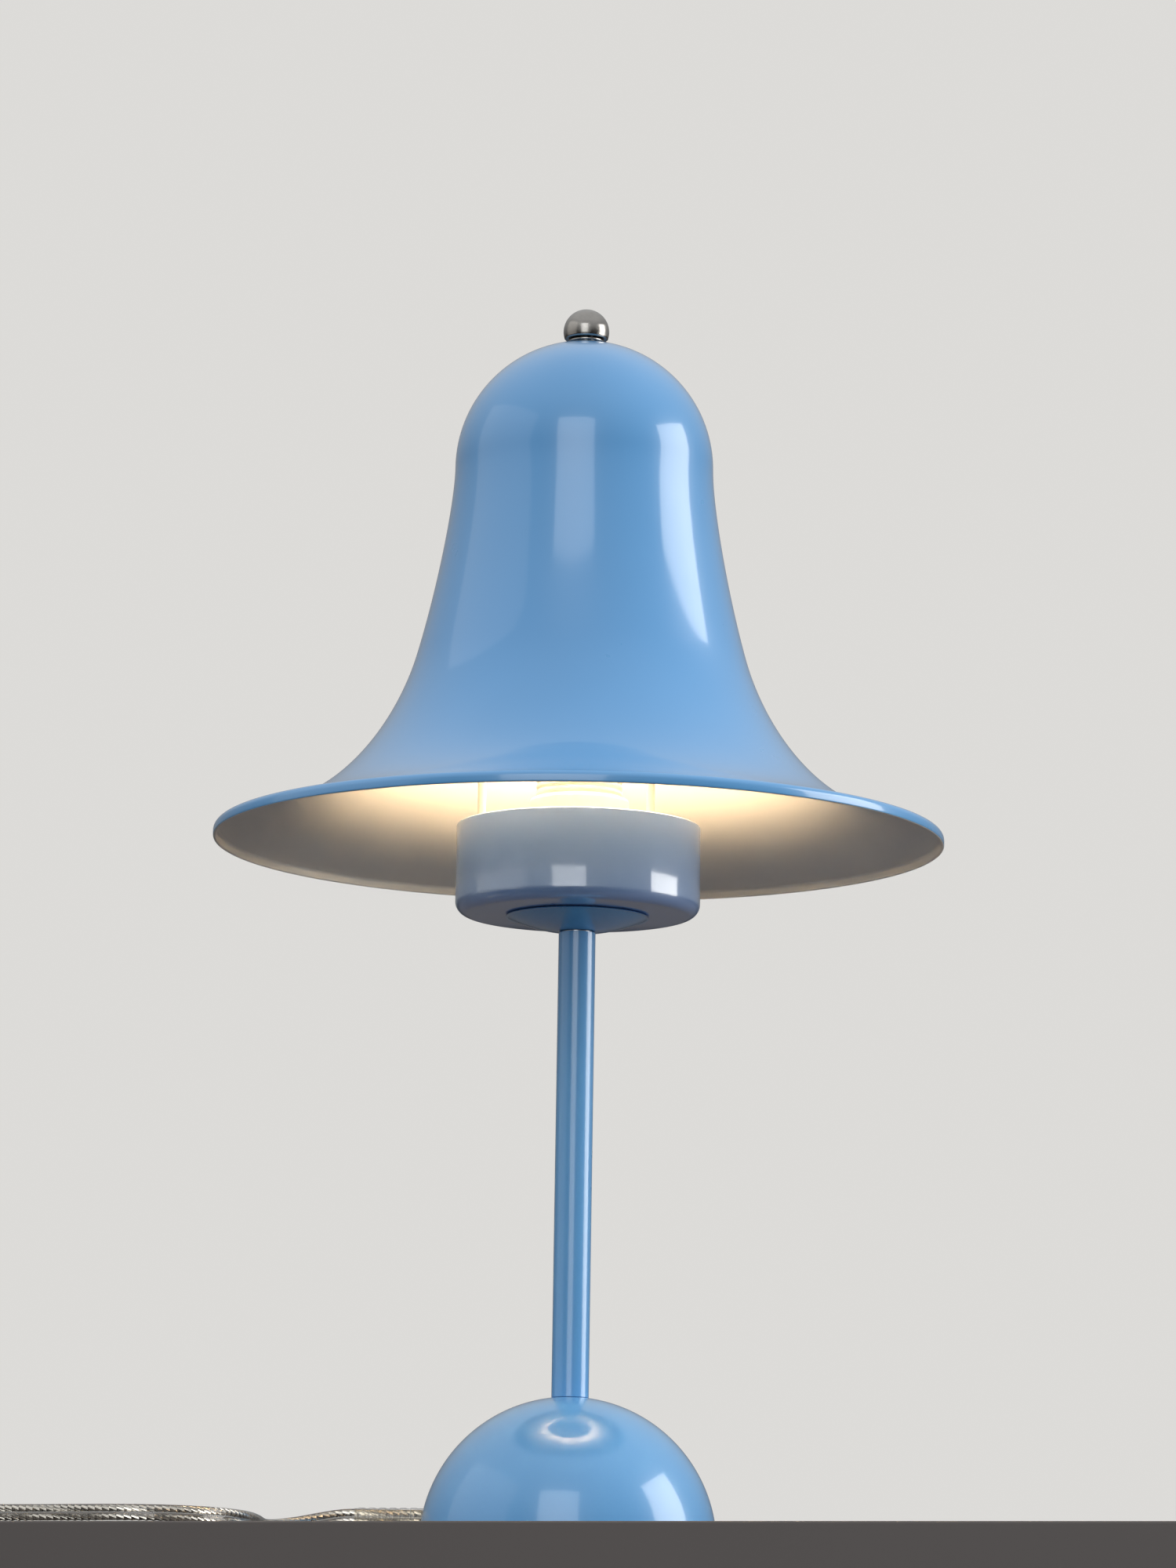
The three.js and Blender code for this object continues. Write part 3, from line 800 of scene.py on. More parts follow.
@dataclass
class Studio:
    """The camera, the plinth that the lamp stands on, and the lights."""

    distance: float = 2.0
    eye_height: float = -0.1116
    eye_side: float = 0.0027
    pitch: float = math.radians(9.95)
    roll: float = math.radians(0.87)
    lens: float = 147.8
    edge_y: float = -0.132
    edge_slope: float = -0.25
    plinth_side: float = 1.6
    plinth_back: float = 1.8
    plinth_depth: float = 0.9
    plinth_colour: Colour = (0.12, 0.105, 0.1)
    backdrop: Colour = (0.72, 0.71, 0.69)
    sky: tuple[Point2, Point2] = ((0.46, 0.02), (0.92, 0.8))  # share of the way up, and its glow
    sky_tint: Colour = (0.97, 0.985, 1.0)
    aim_height: float = 0.28

    def build(self) -> None:
        """Sets up the camera, plinth, lights and world."""
        self.place_camera()
        self.build_plinth()
        self.build_lights()
        self.build_world()

    def place_camera(self) -> None:
        """Puts the camera low in front of the lamp, looking a little up at it."""
        data = bpy.data.cameras.new("camera")
        data.lens = self.lens
        data.sensor_width = 36
        data.clip_start = 0.05
        camera = bpy.data.objects.new("camera", data)
        bpy.context.scene.collection.objects.link(camera)
        tilt = Matrix.Rotation(math.pi / 2 + self.pitch, 4, "X") @ Matrix.Rotation(self.roll, 4, "Z")
        camera.matrix_world = Matrix.Translation((self.eye_side, -self.distance, self.eye_height)) @ tilt
        bpy.context.scene.camera = camera

    def front_edge(self, side: float) -> float:
        """Where the plinth's front edge is at a place along X."""
        return self.edge_y + self.edge_slope * side

    def build_plinth(self) -> None:
        """Builds the dark plinth, its front edge just ahead of the foot."""
        left, right, back = -self.plinth_side, self.plinth_side, self.plinth_back
        outline = [(left, self.front_edge(left), 0.0), (right, self.front_edge(right), 0.0),
                   (right, back, 0.0), (left, back, 0.0)]
        plinth = prism("plinth", outline, (0, 0, -self.plinth_depth))
        apply_modifier(plinth, "BEVEL", width=0.0006, segments=3)
        finish = MouldedPlastic("studio plinth", self.plinth_colour, 0.01, 0.3, 0.55, 0.03, spark=0.002)
        plinth.data.materials.append(finish.make())

    def add_softbox(self, name: str, bearing: float, distance: float, height: float,
                    size: Point2, power: float, colour: Colour) -> None:
        """Adds one soft light that faces the lamp.

        Args:
            name: The light's name.
            bearing: Its direction in degrees, from the camera's side round towards +X.
            distance: Its distance from the lamp's axis.
            height: Height of its middle.
            size: Its width and height.
            power: Its power in watts.
            colour: Its colour.
        """
        data = bpy.data.lights.new(name, "AREA")
        data.shape = "RECTANGLE"
        data.size, data.size_y = size
        data.energy = power
        data.color = colour
        light = bpy.data.objects.new(name, data)
        bpy.context.scene.collection.objects.link(light)
        angle = math.radians(bearing)
        place = Vector((distance * math.sin(angle), -distance * math.cos(angle), height))
        aim = Vector((0, 0, self.aim_height)) - place
        light.location = place
        light.rotation_euler = aim.to_track_quat("-Z", "Y").to_euler()

    def build_lights(self) -> None:
        """Adds the tall key light on the right and the wide, weak fills."""
        self.add_softbox("key light", 89, 1.5, 0.5, (0.92, 1.3), 17, (1.0, 0.99, 0.97))
        self.add_softbox("front fill", -8, 2.6, 0.85, (1.5, 2.3), 21, (0.97, 0.99, 1.0))
        self.add_softbox("left fill", -80, 2.8, 1.0, (3.2, 3.0), 13, (1.0, 0.97, 0.93))

    def build_world(self) -> None:
        """Lights the room softly from above, and gives it a pale backdrop to look at."""
        world = bpy.data.worlds.new("studio")
        bpy.context.scene.world = world
        world.use_nodes = True
        nodes, links = world.node_tree.nodes, world.node_tree.links
        soft = nodes["Background"]
        place = nodes.new("ShaderNodeTexCoord")
        height = nodes.new("ShaderNodeSeparateXYZ")
        sky = nodes.new("ShaderNodeValToRGB")
        for stop, (way_up, glow) in zip(sky.color_ramp.elements, self.sky):
            stop.position = way_up
            stop.color = (*(glow * tint for tint in self.sky_tint), 1)
        links.new(place.outputs["Generated"], height.inputs["Vector"])
        share = nodes.new("ShaderNodeMath")
        share.operation = "MULTIPLY_ADD"
        share.inputs[1].default_value = 0.5
        share.inputs[2].default_value = 0.5
        links.new(height.outputs["Z"], share.inputs[0])
        links.new(share.outputs["Value"], sky.inputs["Fac"])
        links.new(sky.outputs["Color"], soft.inputs["Color"])
        seen = nodes.new("ShaderNodeBackground")
        seen.inputs["Color"].default_value = (*self.backdrop, 1)
        ray = nodes.new("ShaderNodeLightPath")
        mix = nodes.new("ShaderNodeMixShader")
        links.new(ray.outputs["Is Camera Ray"], mix.inputs["Fac"])
        links.new(soft.outputs["Background"], mix.inputs[1])
        links.new(seen.outputs["Background"], mix.inputs[2])
        links.new(mix.outputs["Shader"], nodes["World Output"].inputs["Surface"])


# ---- Flex and what is on it -------------------------------------------------------------------


def smooth_line(points: Sequence[Point3], spacing: float) -> list[Vector]:
    """A centripetal Catmull-Rom line through given points.

    Args:
        points: The points.
        spacing: Rough distance between the line's points.

    Returns:
        The line's points.
    """
    given = [Vector(point) for point in points]
    given = [2 * given[0] - given[1], *given, 2 * given[-1] - given[-2]]
    line = []
    for p0, p1, p2, p3 in zip(given, given[1:], given[2:], given[3:]):
        t1 = (p1 - p0).length ** 0.5
        t2 = t1 + (p2 - p1).length ** 0.5
        t3 = t2 + (p3 - p2).length ** 0.5
        steps = max(2, round((p2 - p1).length / spacing))
        for i in range(steps):
            t = t1 + (t2 - t1) * i / steps
            a1 = p0.lerp(p1, t / t1)
            a2 = p1.lerp(p2, (t - t1) / (t2 - t1))
            a3 = p2.lerp(p3, (t - t2) / (t3 - t2))
            b1 = a1.lerp(a2, t / t2)
            b2 = a2.lerp(a3, (t - t1) / (t3 - t1))
            line.append(b1.lerp(b2, (t - t1) / (t2 - t1)))
    return [*line, given[-2]]


@dataclass
class Flex:
    """The clear flat twin flex: out of the foot, through the switch, wound up, and into the plug."""

    width: float = 0.0052
    lobe: float = 0.00145
    lobe_spread: float = 0.00115
    lobe_sweep: float = 128
    strand_radius: float = 0.0008
    strands: int = 7
    lay_length: float = 0.014
    ring_spacing: float = 0.0022
    coil_centre: Point2 = (-0.232, -0.015)
    coil_outer: float = 0.0339
    coil_inner: float = 0.0243
    coil_turns: float = 6 + 210 / 360
    climb_turns: float = 0.34
    layer_low: float = 0.0036
    layer_high: float = 0.00885
    lead: list[Point3] = field(default_factory=lambda: [
        (-0.0455, 0, 0.008), (-0.056, 0, 0.008), (-0.0666, 0, 0.008), (-0.07, 0, 0.0078),
        (-0.076, -0.0018, 0.0067), (-0.0826, -0.006, 0.0051), (-0.0885, -0.013, 0.0038),
        (-0.092, -0.024, 0.003), (-0.093, -0.037, 0.00275), (-0.0935, -0.05, 0.0027),
        (-0.095, -0.063, 0.0027), (-0.099, -0.076, 0.0027), (-0.107, -0.087, 0.0027),
        (-0.119, -0.0935, 0.0027), (-0.133, -0.0935, 0.0027), (-0.148, -0.089, 0.0027),
        (-0.165, -0.084, 0.0027), (-0.184, -0.08, 0.0027), (-0.205, -0.0755, 0.0027),
        (-0.228, -0.069, 0.0027), (-0.247, -0.0615, 0.0027), (-0.262, -0.0535, 0.0027),
        (-0.2735, -0.0415, 0.0027), (-0.2795, -0.027, 0.003), (-0.2805, -0.012, 0.0046),
        (-0.28, 0.0036, 0.006)])
    through_switch: list[Point3] = field(default_factory=lambda: [
        (-0.28, 0.019, 0.006), (-0.28, 0.034, 0.006), (-0.28, 0.049, 0.006)])
    middle: list[Point3] = field(default_factory=lambda: [
        (-0.28, 0.0644, 0.006), (-0.2795, 0.075, 0.005), (-0.275, 0.087, 0.0036),
        (-0.266, 0.0975, 0.0029), (-0.253, 0.104, 0.0027), (-0.239, 0.1045, 0.0027),
        (-0.225, 0.098, 0.0027), (-0.214, 0.086, 0.0027), (-0.2065, 0.07, 0.0027),
        (-0.202, 0.052, 0.0028), (-0.1995, 0.034, 0.0032), (-0.1983, 0.018, 0.0038),
        (-0.1981, 0.0035, 0.0042)])
    tail: list[Point3] = field(default_factory=lambda: [
        (-0.2522, 0.018, 0.0069), (-0.2484, 0.0245, 0.0063), (-0.2448, 0.031, 0.0064),
        (-0.2426, 0.0366, 0.0069), (-0.242, 0.0413, 0.00705), (-0.242, 0.0445, 0.00705)])

    def coil(self) -> list[Point3]:
        """Points round the coil: clockwise, inwards below, then outwards on top.

        Returns:
            The points, sixteen to a turn.
        """
        flat_turns = (self.coil_turns - self.climb_turns) / 2
        points = []
        for i in range(int(self.coil_turns * 16) + 1):
            turn = i / 16
            inward = min(turn / flat_turns, 1)
            outward = max((turn - flat_turns - self.climb_turns) / flat_turns, 0)
            climb = min(max((turn - flat_turns) / self.climb_turns, 0), 1)
            radius = self.coil_outer - (self.coil_outer - self.coil_inner) * (inward - outward)
            height = self.layer_low + (self.layer_high - self.layer_low) * climb * climb * (3 - 2 * climb)
            angle = -math.tau * turn
            points.append((self.coil_centre[0] + radius * math.cos(angle),
                           self.coil_centre[1] + radius * math.sin(angle), height))
        return points

    def centre_line(self) -> np.ndarray:
        """The whole flex's centre line at even spacing.

        Returns:
            One row of X, Y and Z for each ring of the sheath.
        """
        given = [*self.lead, *self.through_switch, *self.middle, *self.coil(), *self.tail]
        line = np.array([tuple(point) for point in smooth_line(given, 0.001)])
        along = np.concatenate([[0], np.cumsum(np.linalg.norm(np.diff(line, axis=0), axis=1))])
        count = round(along[-1] / self.ring_spacing)
        even = np.linspace(0, along[-1], count + 1)
        return np.stack([np.interp(even, along, line[:, k]) for k in range(3)], axis=1)

    def sheath_section(self) -> Outline:
        """The figure-of-eight section of the sheath, its width first."""
        upper = arc((self.lobe_spread, 0), self.lobe, -self.lobe_sweep, self.lobe_sweep, 11)
        return [*upper, *[(-across, -aside) for across, aside in upper]]

    def strand_section(self, side: int, angle: float) -> Outline:
        """The fluted section of one core's twisted strands.

        Args:
            side: Which core, 1 or -1.
            angle: How far the strands have twisted.

        Returns:
            The section, its width first.
        """
        points = []
        for i in range(2 * self.strands):
            turn = math.pi * i / self.strands
            radius = self.strand_radius * (1.0 if i % 2 else 0.86)
            points.append((side * self.lobe_spread + radius * math.cos(turn + angle),
                           radius * math.sin(turn + angle)))
        return points

    def sweep(self, name: str, line: np.ndarray, sections: list[Outline]) -> bpy.types.Object:
        """Carries a section along the line, its width always upright.

        Args:
            name: The mesh's name.
            line: The centre line.
            sections: One section for each point of the line.

        Returns:
            A closed tube.
        """
        along = np.gradient(line, axis=0)
        along /= np.linalg.norm(along, axis=1)[:, None]
        aside = np.cross(along, (0, 0, 1))
        aside /= np.linalg.norm(aside, axis=1)[:, None]
        upright = np.cross(aside, along)
        shape = np.array(sections)
        points = line[:, None] + shape[..., :1] * upright[:, None] + shape[..., 1:] * aside[:, None]
        rings, corners = shape.shape[:2]
        faces = [(r * corners + c, r * corners + (c + 1) % corners, (r + 1) * corners + (c + 1) % corners,
                  (r + 1) * corners + c) for r in range(rings - 1) for c in range(corners)]
        faces.append(tuple(reversed(range(corners))))
        faces.append(tuple((rings - 1) * corners + c for c in range(corners)))
        mesh = bpy.data.meshes.new(name)
        mesh.from_pydata(points.reshape(-1, 3).tolist(), [], faces)
        tube = bpy.data.objects.new(name, mesh)
        bpy.context.scene.collection.objects.link(tube)
        pick(tube)
        bpy.ops.object.mode_set(mode="EDIT")
        close_up()
        return tube

    def build(self, finishes: Finishes) -> bpy.types.Object:
        """Builds the sheath with its two cores of strands inside.

        Args:
            finishes: The lamp's materials.

        Returns:
            The flex.
        """
        self.line = self.centre_line()
        steps = len(self.line)
        flex = self.sweep("flex", self.line, [self.sheath_section()] * steps)
        sheath_faces = len(flex.data.polygons)
        turn = math.tau * self.ring_spacing / self.lay_length
        cores = [self.sweep("core", self.line, [self.strand_section(side, turn * i) for i in range(steps)])
                 for side in (1, -1)]
        join(flex, *cores)
        for face in flex.data.polygons[sheath_faces:]:
            face.material_index = 1
        self.piece = hand_over(flex, Body.LAMP, [finishes.clear, finishes.strand],
                               ["cord_lead", "cord_middle", "cord_tail", "cord_coil"])
        return self.piece


@dataclass
class StrainRelief:
    """The clear sleeve that guides the flex out of the foot."""

    height: float = 0.008
    flange_start: float = 0.0418
    bore: float = 0.00263
    ribs: int = 6

    def build(self, finishes: Finishes) -> bpy.types.Object:
        """Builds the sleeve along -X.

        Args:
            finishes: The lamp's materials.

        Returns:
            The sleeve.
        """
        neck, end = 0.0466, -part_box("strain_relief")[0].x
        outline = [(self.bore, self.flange_start), (0.0039, self.flange_start),
                   (0.0041, self.flange_start + 0.0002), (0.0041, self.flange_start + 0.0008),
                   (0.0039, self.flange_start + 0.001), (0.003, self.flange_start + 0.001), (0.003, neck)]
        pitch = (end - neck) / self.ribs
        for i in range(self.ribs):
            start = neck + i * pitch
            radius = 0.0031 - 0.0002 * i / self.ribs
            outline += [(radius, start + 0.1 * pitch), (radius, start + 0.62 * pitch),
                        (radius - 0.0002, start + 0.7 * pitch), (radius - 0.0002, start + 0.95 * pitch)]
        outline += [(0.0028, end - 0.0003), (0.00275, end), (self.bore, end), outline[0]]
        sleeve = turned("strain_relief_sleeve", outline, 40, (0, 0, self.height), Axis.ALONG_MINUS_X)
        return hand_over(sleeve, Body.LAMP, [finishes.clear], ["strain_relief"])


@dataclass
class InlineSwitch:
    """The rocker switch in the flex: tray, lid, rocker and contact."""

    corner: float = 0.007
    wall: float = 0.002
    edge: float = 0.0022
    hole: float = 0.0029
    flex_height: float = 0.006
    pivot: float = 0.0099
    reach: float = 0.0072
    half_width: float = 0.0043
    waist: float = 0.0036
    tilt: float = math.radians(9)

    def shell(self, name: str, low: Point3, high: Point3, rounded: float) -> bpy.types.Object:
        """One half of the housing as a block with round corners.

        Args:
            name: The piece's name.
            low: Its lowest corner.
            high: Its highest corner.
            rounded: Height of the edge that is rounded all round.

        Returns:
            The solid half.
        """
        piece = block(name, low, high)
        bevel_edges(piece, self.corner, 10, lambda a, b: abs(a.z - b.z) > 1e-4)
        bevel_edges(piece, self.edge, 5, lambda a, b: max(abs(a.z - rounded), abs(b.z - rounded)) < 1e-5)
        return piece

    def hollow(self, low: Point3, high: Point3) -> bpy.types.Object:
        """The cutter for the room inside."""
        cutter = block("hollow", low, high)
        bevel_edges(cutter, self.corner - self.wall, 8, lambda a, b: abs(a.z - b.z) > 1e-4)
        return cutter

    def flex_hole(self) -> bpy.types.Object:
        """The cutter for the holes that the flex runs through."""
        low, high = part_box("switch_tray")
        outline = [(0, -0.01), (self.hole, -0.01), (self.hole, high.y - low.y + 0.01),
                   (0, high.y - low.y + 0.01)]
        place = ((low.x + high.x) / 2, low.y, self.flex_height)
        return turned("hole", outline, 32, place, Axis.ALONG_Y)

    def build_rocker(self, middle: Point3, finishes: Finishes) -> bpy.types.Object:
        """Builds the rocker with its two dished paddles and its pin.

        Args:
            middle: The pin's middle.
            finishes: The lamp's materials.

        Returns:
            The rocker.
        """
        front = arc((0, 0), self.reach, -25, 45, 10)
        dish = bezier([front[-1], (0.003, 0.0033), (-0.003, 0.0033), (-front[-1][0], front[-1][1])], 12)
        back = arc((0, 0), self.reach, 135, 205, 10)
        section = [*front, *dish[1:], *back[1:]]
        outline = [(-self.half_width, across, up) for across, up in section]
        rocker = prism("rocker", outline, (2 * self.half_width, 0, 0))
        apply_modifier(rocker, "BEVEL", width=0.0004, segments=3, limit_method="ANGLE",
                       angle_limit=math.radians(40))
        marks = []
        for side, kind in ((1, "ring"), (-1, "bar")):
            marks.append(self.mark(side, kind))
        pin = turned("pin", [(0, -0.0059), (0.001, -0.0059), (0.001, 0.0059), (0, 0.0059)], 24)
        lay(pin, turn=(0, math.pi / 2, 0))
        join(rocker, pin, *marks)
        lay(rocker, middle, (-self.tilt, 0, 0))
        return hand_over(rocker, Body.ROCKER, [finishes.plastic], ["switch_rocker"])

    def mark(self, side: int, kind: str) -> bpy.types.Object:
        """A small raised mark on one paddle: a ring for off, a bar for on.

        Args:
            side: Which paddle, 1 or -1 along Y.
            kind: Either ring or bar.

        Returns:
            The mark, in place on the level rocker.
        """
        if kind == "ring":
            mark = turned("mark", ring_outline(0.0006, 0.0009, -0.0003, 0.00015, 0.00005), 24)
        else:
            mark = block("mark", (-0.0009, -0.00017, -0.0003), (0.0009, 0.00017, 0.00015))
        slope = math.radians(22) * side
        lay(mark, (0, side * 0.0031, 0.00428), (slope, 0, 0))
        return mark

    def build(self, finishes: Finishes) -> list[bpy.types.Object]:
        """Builds the whole switch.

        Args:
            finishes: The lamp's materials.

        Returns:
            Its tray, lid, rocker and contact.
        """
        low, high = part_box("switch_tray")
        lid_low, lid_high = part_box("switch_lid")
        centre = (low + high) / 2
        inner = Vector((self.wall, self.wall, 0))
        split = lid_low.z - 0.0003
        tray = self.shell("switch_tray_shell", low, (high.x, high.y, split), low.z)
        cut(tray, self.hollow(low + inner + Vector((0, 0, 0.0016)), (high - inner)[:2] + (0.02,)),
            self.flex_hole())
        hand_over(tray, Body.LAMP, [finishes.plastic], ["switch_tray"])
        lid = self.shell("switch_lid_shell", lid_low, lid_high, lid_high.z)
        window = block("window", (centre.x - 0.0047, centre.y - 0.0076, 0.005),
                       (centre.x + 0.0047, centre.y + 0.0076, 0.02))
        bevel_edges(window, 0.0008, 4, lambda a, b: abs(a.z - b.z) > 1e-4)
        mouth = lid_low + inner - Vector((0, 0, 0.002))
        ceiling = lid_high - inner - Vector((0, 0, 0.0015))
        cut(lid, self.hollow(mouth, ceiling), window, self.flex_hole())
        apply_modifier(lid, "BEVEL", width=0.00025, segments=2, limit_method="ANGLE",
                       angle_limit=math.radians(60))
        hand_over(lid, Body.LAMP, [finishes.plastic], ["switch_lid"])
        rocker = self.build_rocker((centre.x, centre.y, self.pivot), finishes)
        dress_node("switch_contact", finishes.brass)
        return [tray, lid, rocker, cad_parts["switch_contact"]]


@dataclass
class CoilTie:
    """The strap that holds the wound flex together."""

    width: float = 0.006
    thickness: float = 0.0005
    corner: float = 0.003
    bearing: float = math.radians(255)
    near: float = 0.0222
    far: float = 0.0362
    low: float = 0.0001
    head: float = 0.0045

    def build(self, coil_centre: Point2, finishes: Finishes) -> bpy.types.Object:
        """Builds the strap round the coil's turns, with its head on top.

        Args:
            coil_centre: The coil's middle.
            finishes: The lamp's materials.

        Returns:
            The tie.
        """
        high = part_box("coil_tie")[1].z
        c = self.corner
        inner = self.near - self.thickness
        outer = self.far + self.thickness
        corners = [((inner + c, self.low + c), 180, 270), ((outer - c, self.low + c), 270, 360),
                   ((outer - c, high - c), 0, 90), ((inner + c, high - c), 90, 180)]
        loop = [point for centre, start, end in corners for point in arc(centre, c, start, end, 6)]
        ridged = [(radius, -self.width / 2, height) for radius, height in loop]
        tie = start_line("coil_strap", ridged[0])
        draw_line([*ridged, ridged[0]])
        bpy.ops.mesh.select_all(action="SELECT")
        bpy.ops.mesh.remove_doubles(threshold=JOIN)
        bpy.ops.mesh.extrude_region_move(TRANSFORM_OT_translate={"value": (0, self.width, 0)})
        close_up()
        apply_modifier(tie, "SOLIDIFY", thickness=self.thickness, offset=-1, use_even_offset=True)
        apply_modifier(tie, "BEVEL", width=0.00012, segments=2, limit_method="ANGLE",
                       angle_limit=math.radians(60))
        middle = (inner + outer) / 2
        head = block("head", (middle - self.head / 2, -self.width / 2 - 0.0008, high - 0.0004),
                     (middle + self.head / 2, self.width / 2 + 0.0008, high + 0.0022))
        apply_modifier(head, "BEVEL", width=0.0006, segments=3)
        tongue = block("tongue", (middle + self.head / 2 - 0.001, -0.0024, high + 0.0004),
                       (middle + self.head / 2 + 0.006, 0.0024, high + 0.0011))
        apply_modifier(tongue, "BEVEL", width=0.0003, segments=2)
        join(tie, head, tongue)
        lay(tie, (*coil_centre, 0), (0, 0, self.bearing))
        return hand_over(tie, Body.LAMP, [finishes.black], ["coil_tie"])


@dataclass
class Plug:
    """The flat two-pin plug."""

    half_face: float = 0.0175
    half_back: float = 0.005
    shoulder: float = 0.013
    face_depth: float = 0.009
    pin_radius: float = 0.002
    pin_sleeve: float = 0.009

    def build(self, finishes: Finishes) -> list[bpy.types.Object]:
        """Builds the plug's body and pins.

        Args:
            finishes: The lamp's materials.

        Returns:
            The body and the two pins.
        """
        low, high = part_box("plug_body")
        x = (low.x + high.x) / 2
        half = [(self.half_back, low.y), (0.0145, low.y + self.shoulder),
                (self.half_face, high.y - self.face_depth), (self.half_face, high.y)]
        outline = [(x + side, y, low.z) for side, y in half]
        outline += [(x - side, y, low.z) for side, y in reversed(half)]
        body = prism("plug_shell", outline, (0, 0, high.z - low.z))
        bevel_edges(body, 0.004, 6, lambda a, b: abs(a.z - b.z) > 1e-4 and a.y < high.y - 1e-4)
        level = [low.z, high.z]
        bevel_edges(body, 0.0032, 6, lambda a, b: abs(a.z - b.z) < 1e-5
                    and min(abs(a.z - z) for z in level) < 1e-5 and min(a.y, b.y) < high.y - 1e-4)
        for side in (-1, 1):
            for i in range(4):
                y = low.y + 0.0185 + i * 0.0024
                edge_x = x + side * (self.half_face + 0.0003)
                groove = turned("groove", [(0, -0.02), (0.0008, -0.02), (0.0008, 0.02), (0, 0.02)], 12,
                                (edge_x, y, (low.z + high.z) / 2))
                cut(body, groove)
        apply_modifier(body, "BEVEL", width=0.0002, segments=2, limit_method="ANGLE",
                       angle_limit=math.radians(55))
        hand_over(body, Body.LAMP, [finishes.plastic], ["plug_body"])
        pieces = [body]
        for node in ("plug_pin_1", "plug_pin_2"):
            pieces.append(self.build_pin(node, high.y, finishes))
        return pieces

    def build_pin(self, node: str, face: float, finishes: Finishes) -> bpy.types.Object:
        """Builds one pin with its dark sleeve and round tip.

        Args:
            node: The plain pin.
            face: Where the plug's face is along Y.
            finishes: The lamp's materials.

        Returns:
            The pin.
        """
        low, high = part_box(node)
        r = self.pin_radius
        length = high.y - face
        outline = [(0, -0.004), (r * 0.96, -0.004), (r * 0.96, self.pin_sleeve), (r * 0.86, self.pin_sleeve),
                   (r * 0.86, self.pin_sleeve + 0.0003), (r, self.pin_sleeve + 0.0005), (r, length - r)]
        outline += arc((0, length - r), r, 0, 90, 8)[1:]
        pin = turned(node + "_turned", outline, 40, ((low.x + high.x) / 2, face, (low.z + high.z) / 2),
                     Axis.ALONG_Y)
        paint(pin, 1, lambda centre, normal: centre.y < face + self.pin_sleeve)
        return hand_over(pin, Body.LAMP, [finishes.pin_metal, finishes.black], [node])


# ---- Foot, stem, dish and cup -----------------------------------------------------------------


@dataclass
class Foot:
    """The half-ball foot: lacquered shell, iron weight, plate, pad and what clamps the stem."""

    sheet: float = 0.001
    nipple_hole: float = 0.0053
    nipple_bore: float = 0.0036
    outlet: float = 0.0036
    outlet_height: float = 0.008
    screw_circle: float = 0.028
    screw_bearings: tuple[float, ...] = (60, 120, 300)

    def build_shell(self, finishes: Finishes) -> None:
        """Builds the shell with its rolled lower edge and the flex outlet."""
        low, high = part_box("base_shell")
        radius = radius_of("base_shell")
        inner = radius - self.sheet
        start = math.degrees(math.asin((low.z + self.sheet / 2) / radius))
        top = 90 - math.degrees(math.asin(self.nipple_hole / radius))
        middle = (radius - self.sheet / 2) * math.cos(math.radians(start))
        lip = arc((middle, low.z + self.sheet / 2), self.sheet / 2, 180, 360, 6)
        outline = [*arc((0, 0), inner, top, start, 48), *lip[1:-1], *arc((0, 0), radius, start, top, 56)]
        shell = turned("base_shell_turned", [*outline, outline[0]], 160)
        hole = turned("outlet", [(0, -0.004), (self.outlet, -0.004), (self.outlet, 0.008), (0, 0.008)], 40,
                      (-radius + 0.004, 0, self.outlet_height), Axis.ALONG_MINUS_X)
        cut(shell, hole)
        hand_over(shell, Body.LAMP, [finishes.blue], ["base_shell"])

    def build_underside(self, finishes: Finishes) -> None:
        """Builds the pad with its two moulded grooves, and the plate with its countersinks."""
        low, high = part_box("foot_pad")
        outer = radius_of("foot_pad")
        groove = 0.0005
        outline = [(0.012, low.z)]
        for radius in (0.022, 0.034):
            outline += [(radius - 0.0008, low.z), (radius, low.z + groove), (radius + 0.0008, low.z)]
        outline += [(outer - 0.0004, low.z), (outer, low.z + 0.0004), (outer, high.z), (0.012, high.z),
                    outline[0]]
        pad = turned("foot_pad_moulded", outline, 128)
        hand_over(pad, Body.LAMP, [finishes.rubber], ["foot_pad"])
        low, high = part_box("base_plate")
        edge = radius_of("base_plate")
        plate = turned("base_plate_turned", [(0, low.z), (edge - 0.0002, low.z), (edge, low.z + 0.0002),
                                             (edge, high.z), (0, high.z)], 96)
        for bearing in self.screw_bearings:
            angle = math.radians(bearing)
            place = (self.screw_circle * math.cos(angle), self.screw_circle * math.sin(angle), 0)
            cut(plate, turned("sink", [(0, low.z - 0.001), (0.0031, low.z - 0.001), (0.0031, low.z),
                                       (0.0017, high.z), (0.0017, high.z + 0.001), (0, high.z + 0.001)],
                              32, place))
        hand_over(plate, Body.LAMP, [finishes.zinc], ["base_plate"])

    def build(self, finishes: Finishes) -> None:
        """Builds the foot.

        Args:
            finishes: The lamp's materials.
        """
        self.build_shell(finishes)
        self.build_underside(finishes)
        dress_node("base_weight", finishes.iron)
        screws = [f"plate_screw_{i}" for i in (1, 2, 3)] + ["clamp_screw_1", "clamp_screw_2"]
        for node in screws:
            dress_node(node, finishes.zinc)
        for node in ("stem_nut", "cord_clamp"):
            hand_over(refined(node), Body.LAMP, [finishes.zinc], [node])
        washer = ring_like("stem_washer", self.nipple_hole)
        hand_over(washer, Body.LAMP, [finishes.zinc], ["stem_washer"])
        build_nipple("lower_nipple", self.nipple_bore, finishes)


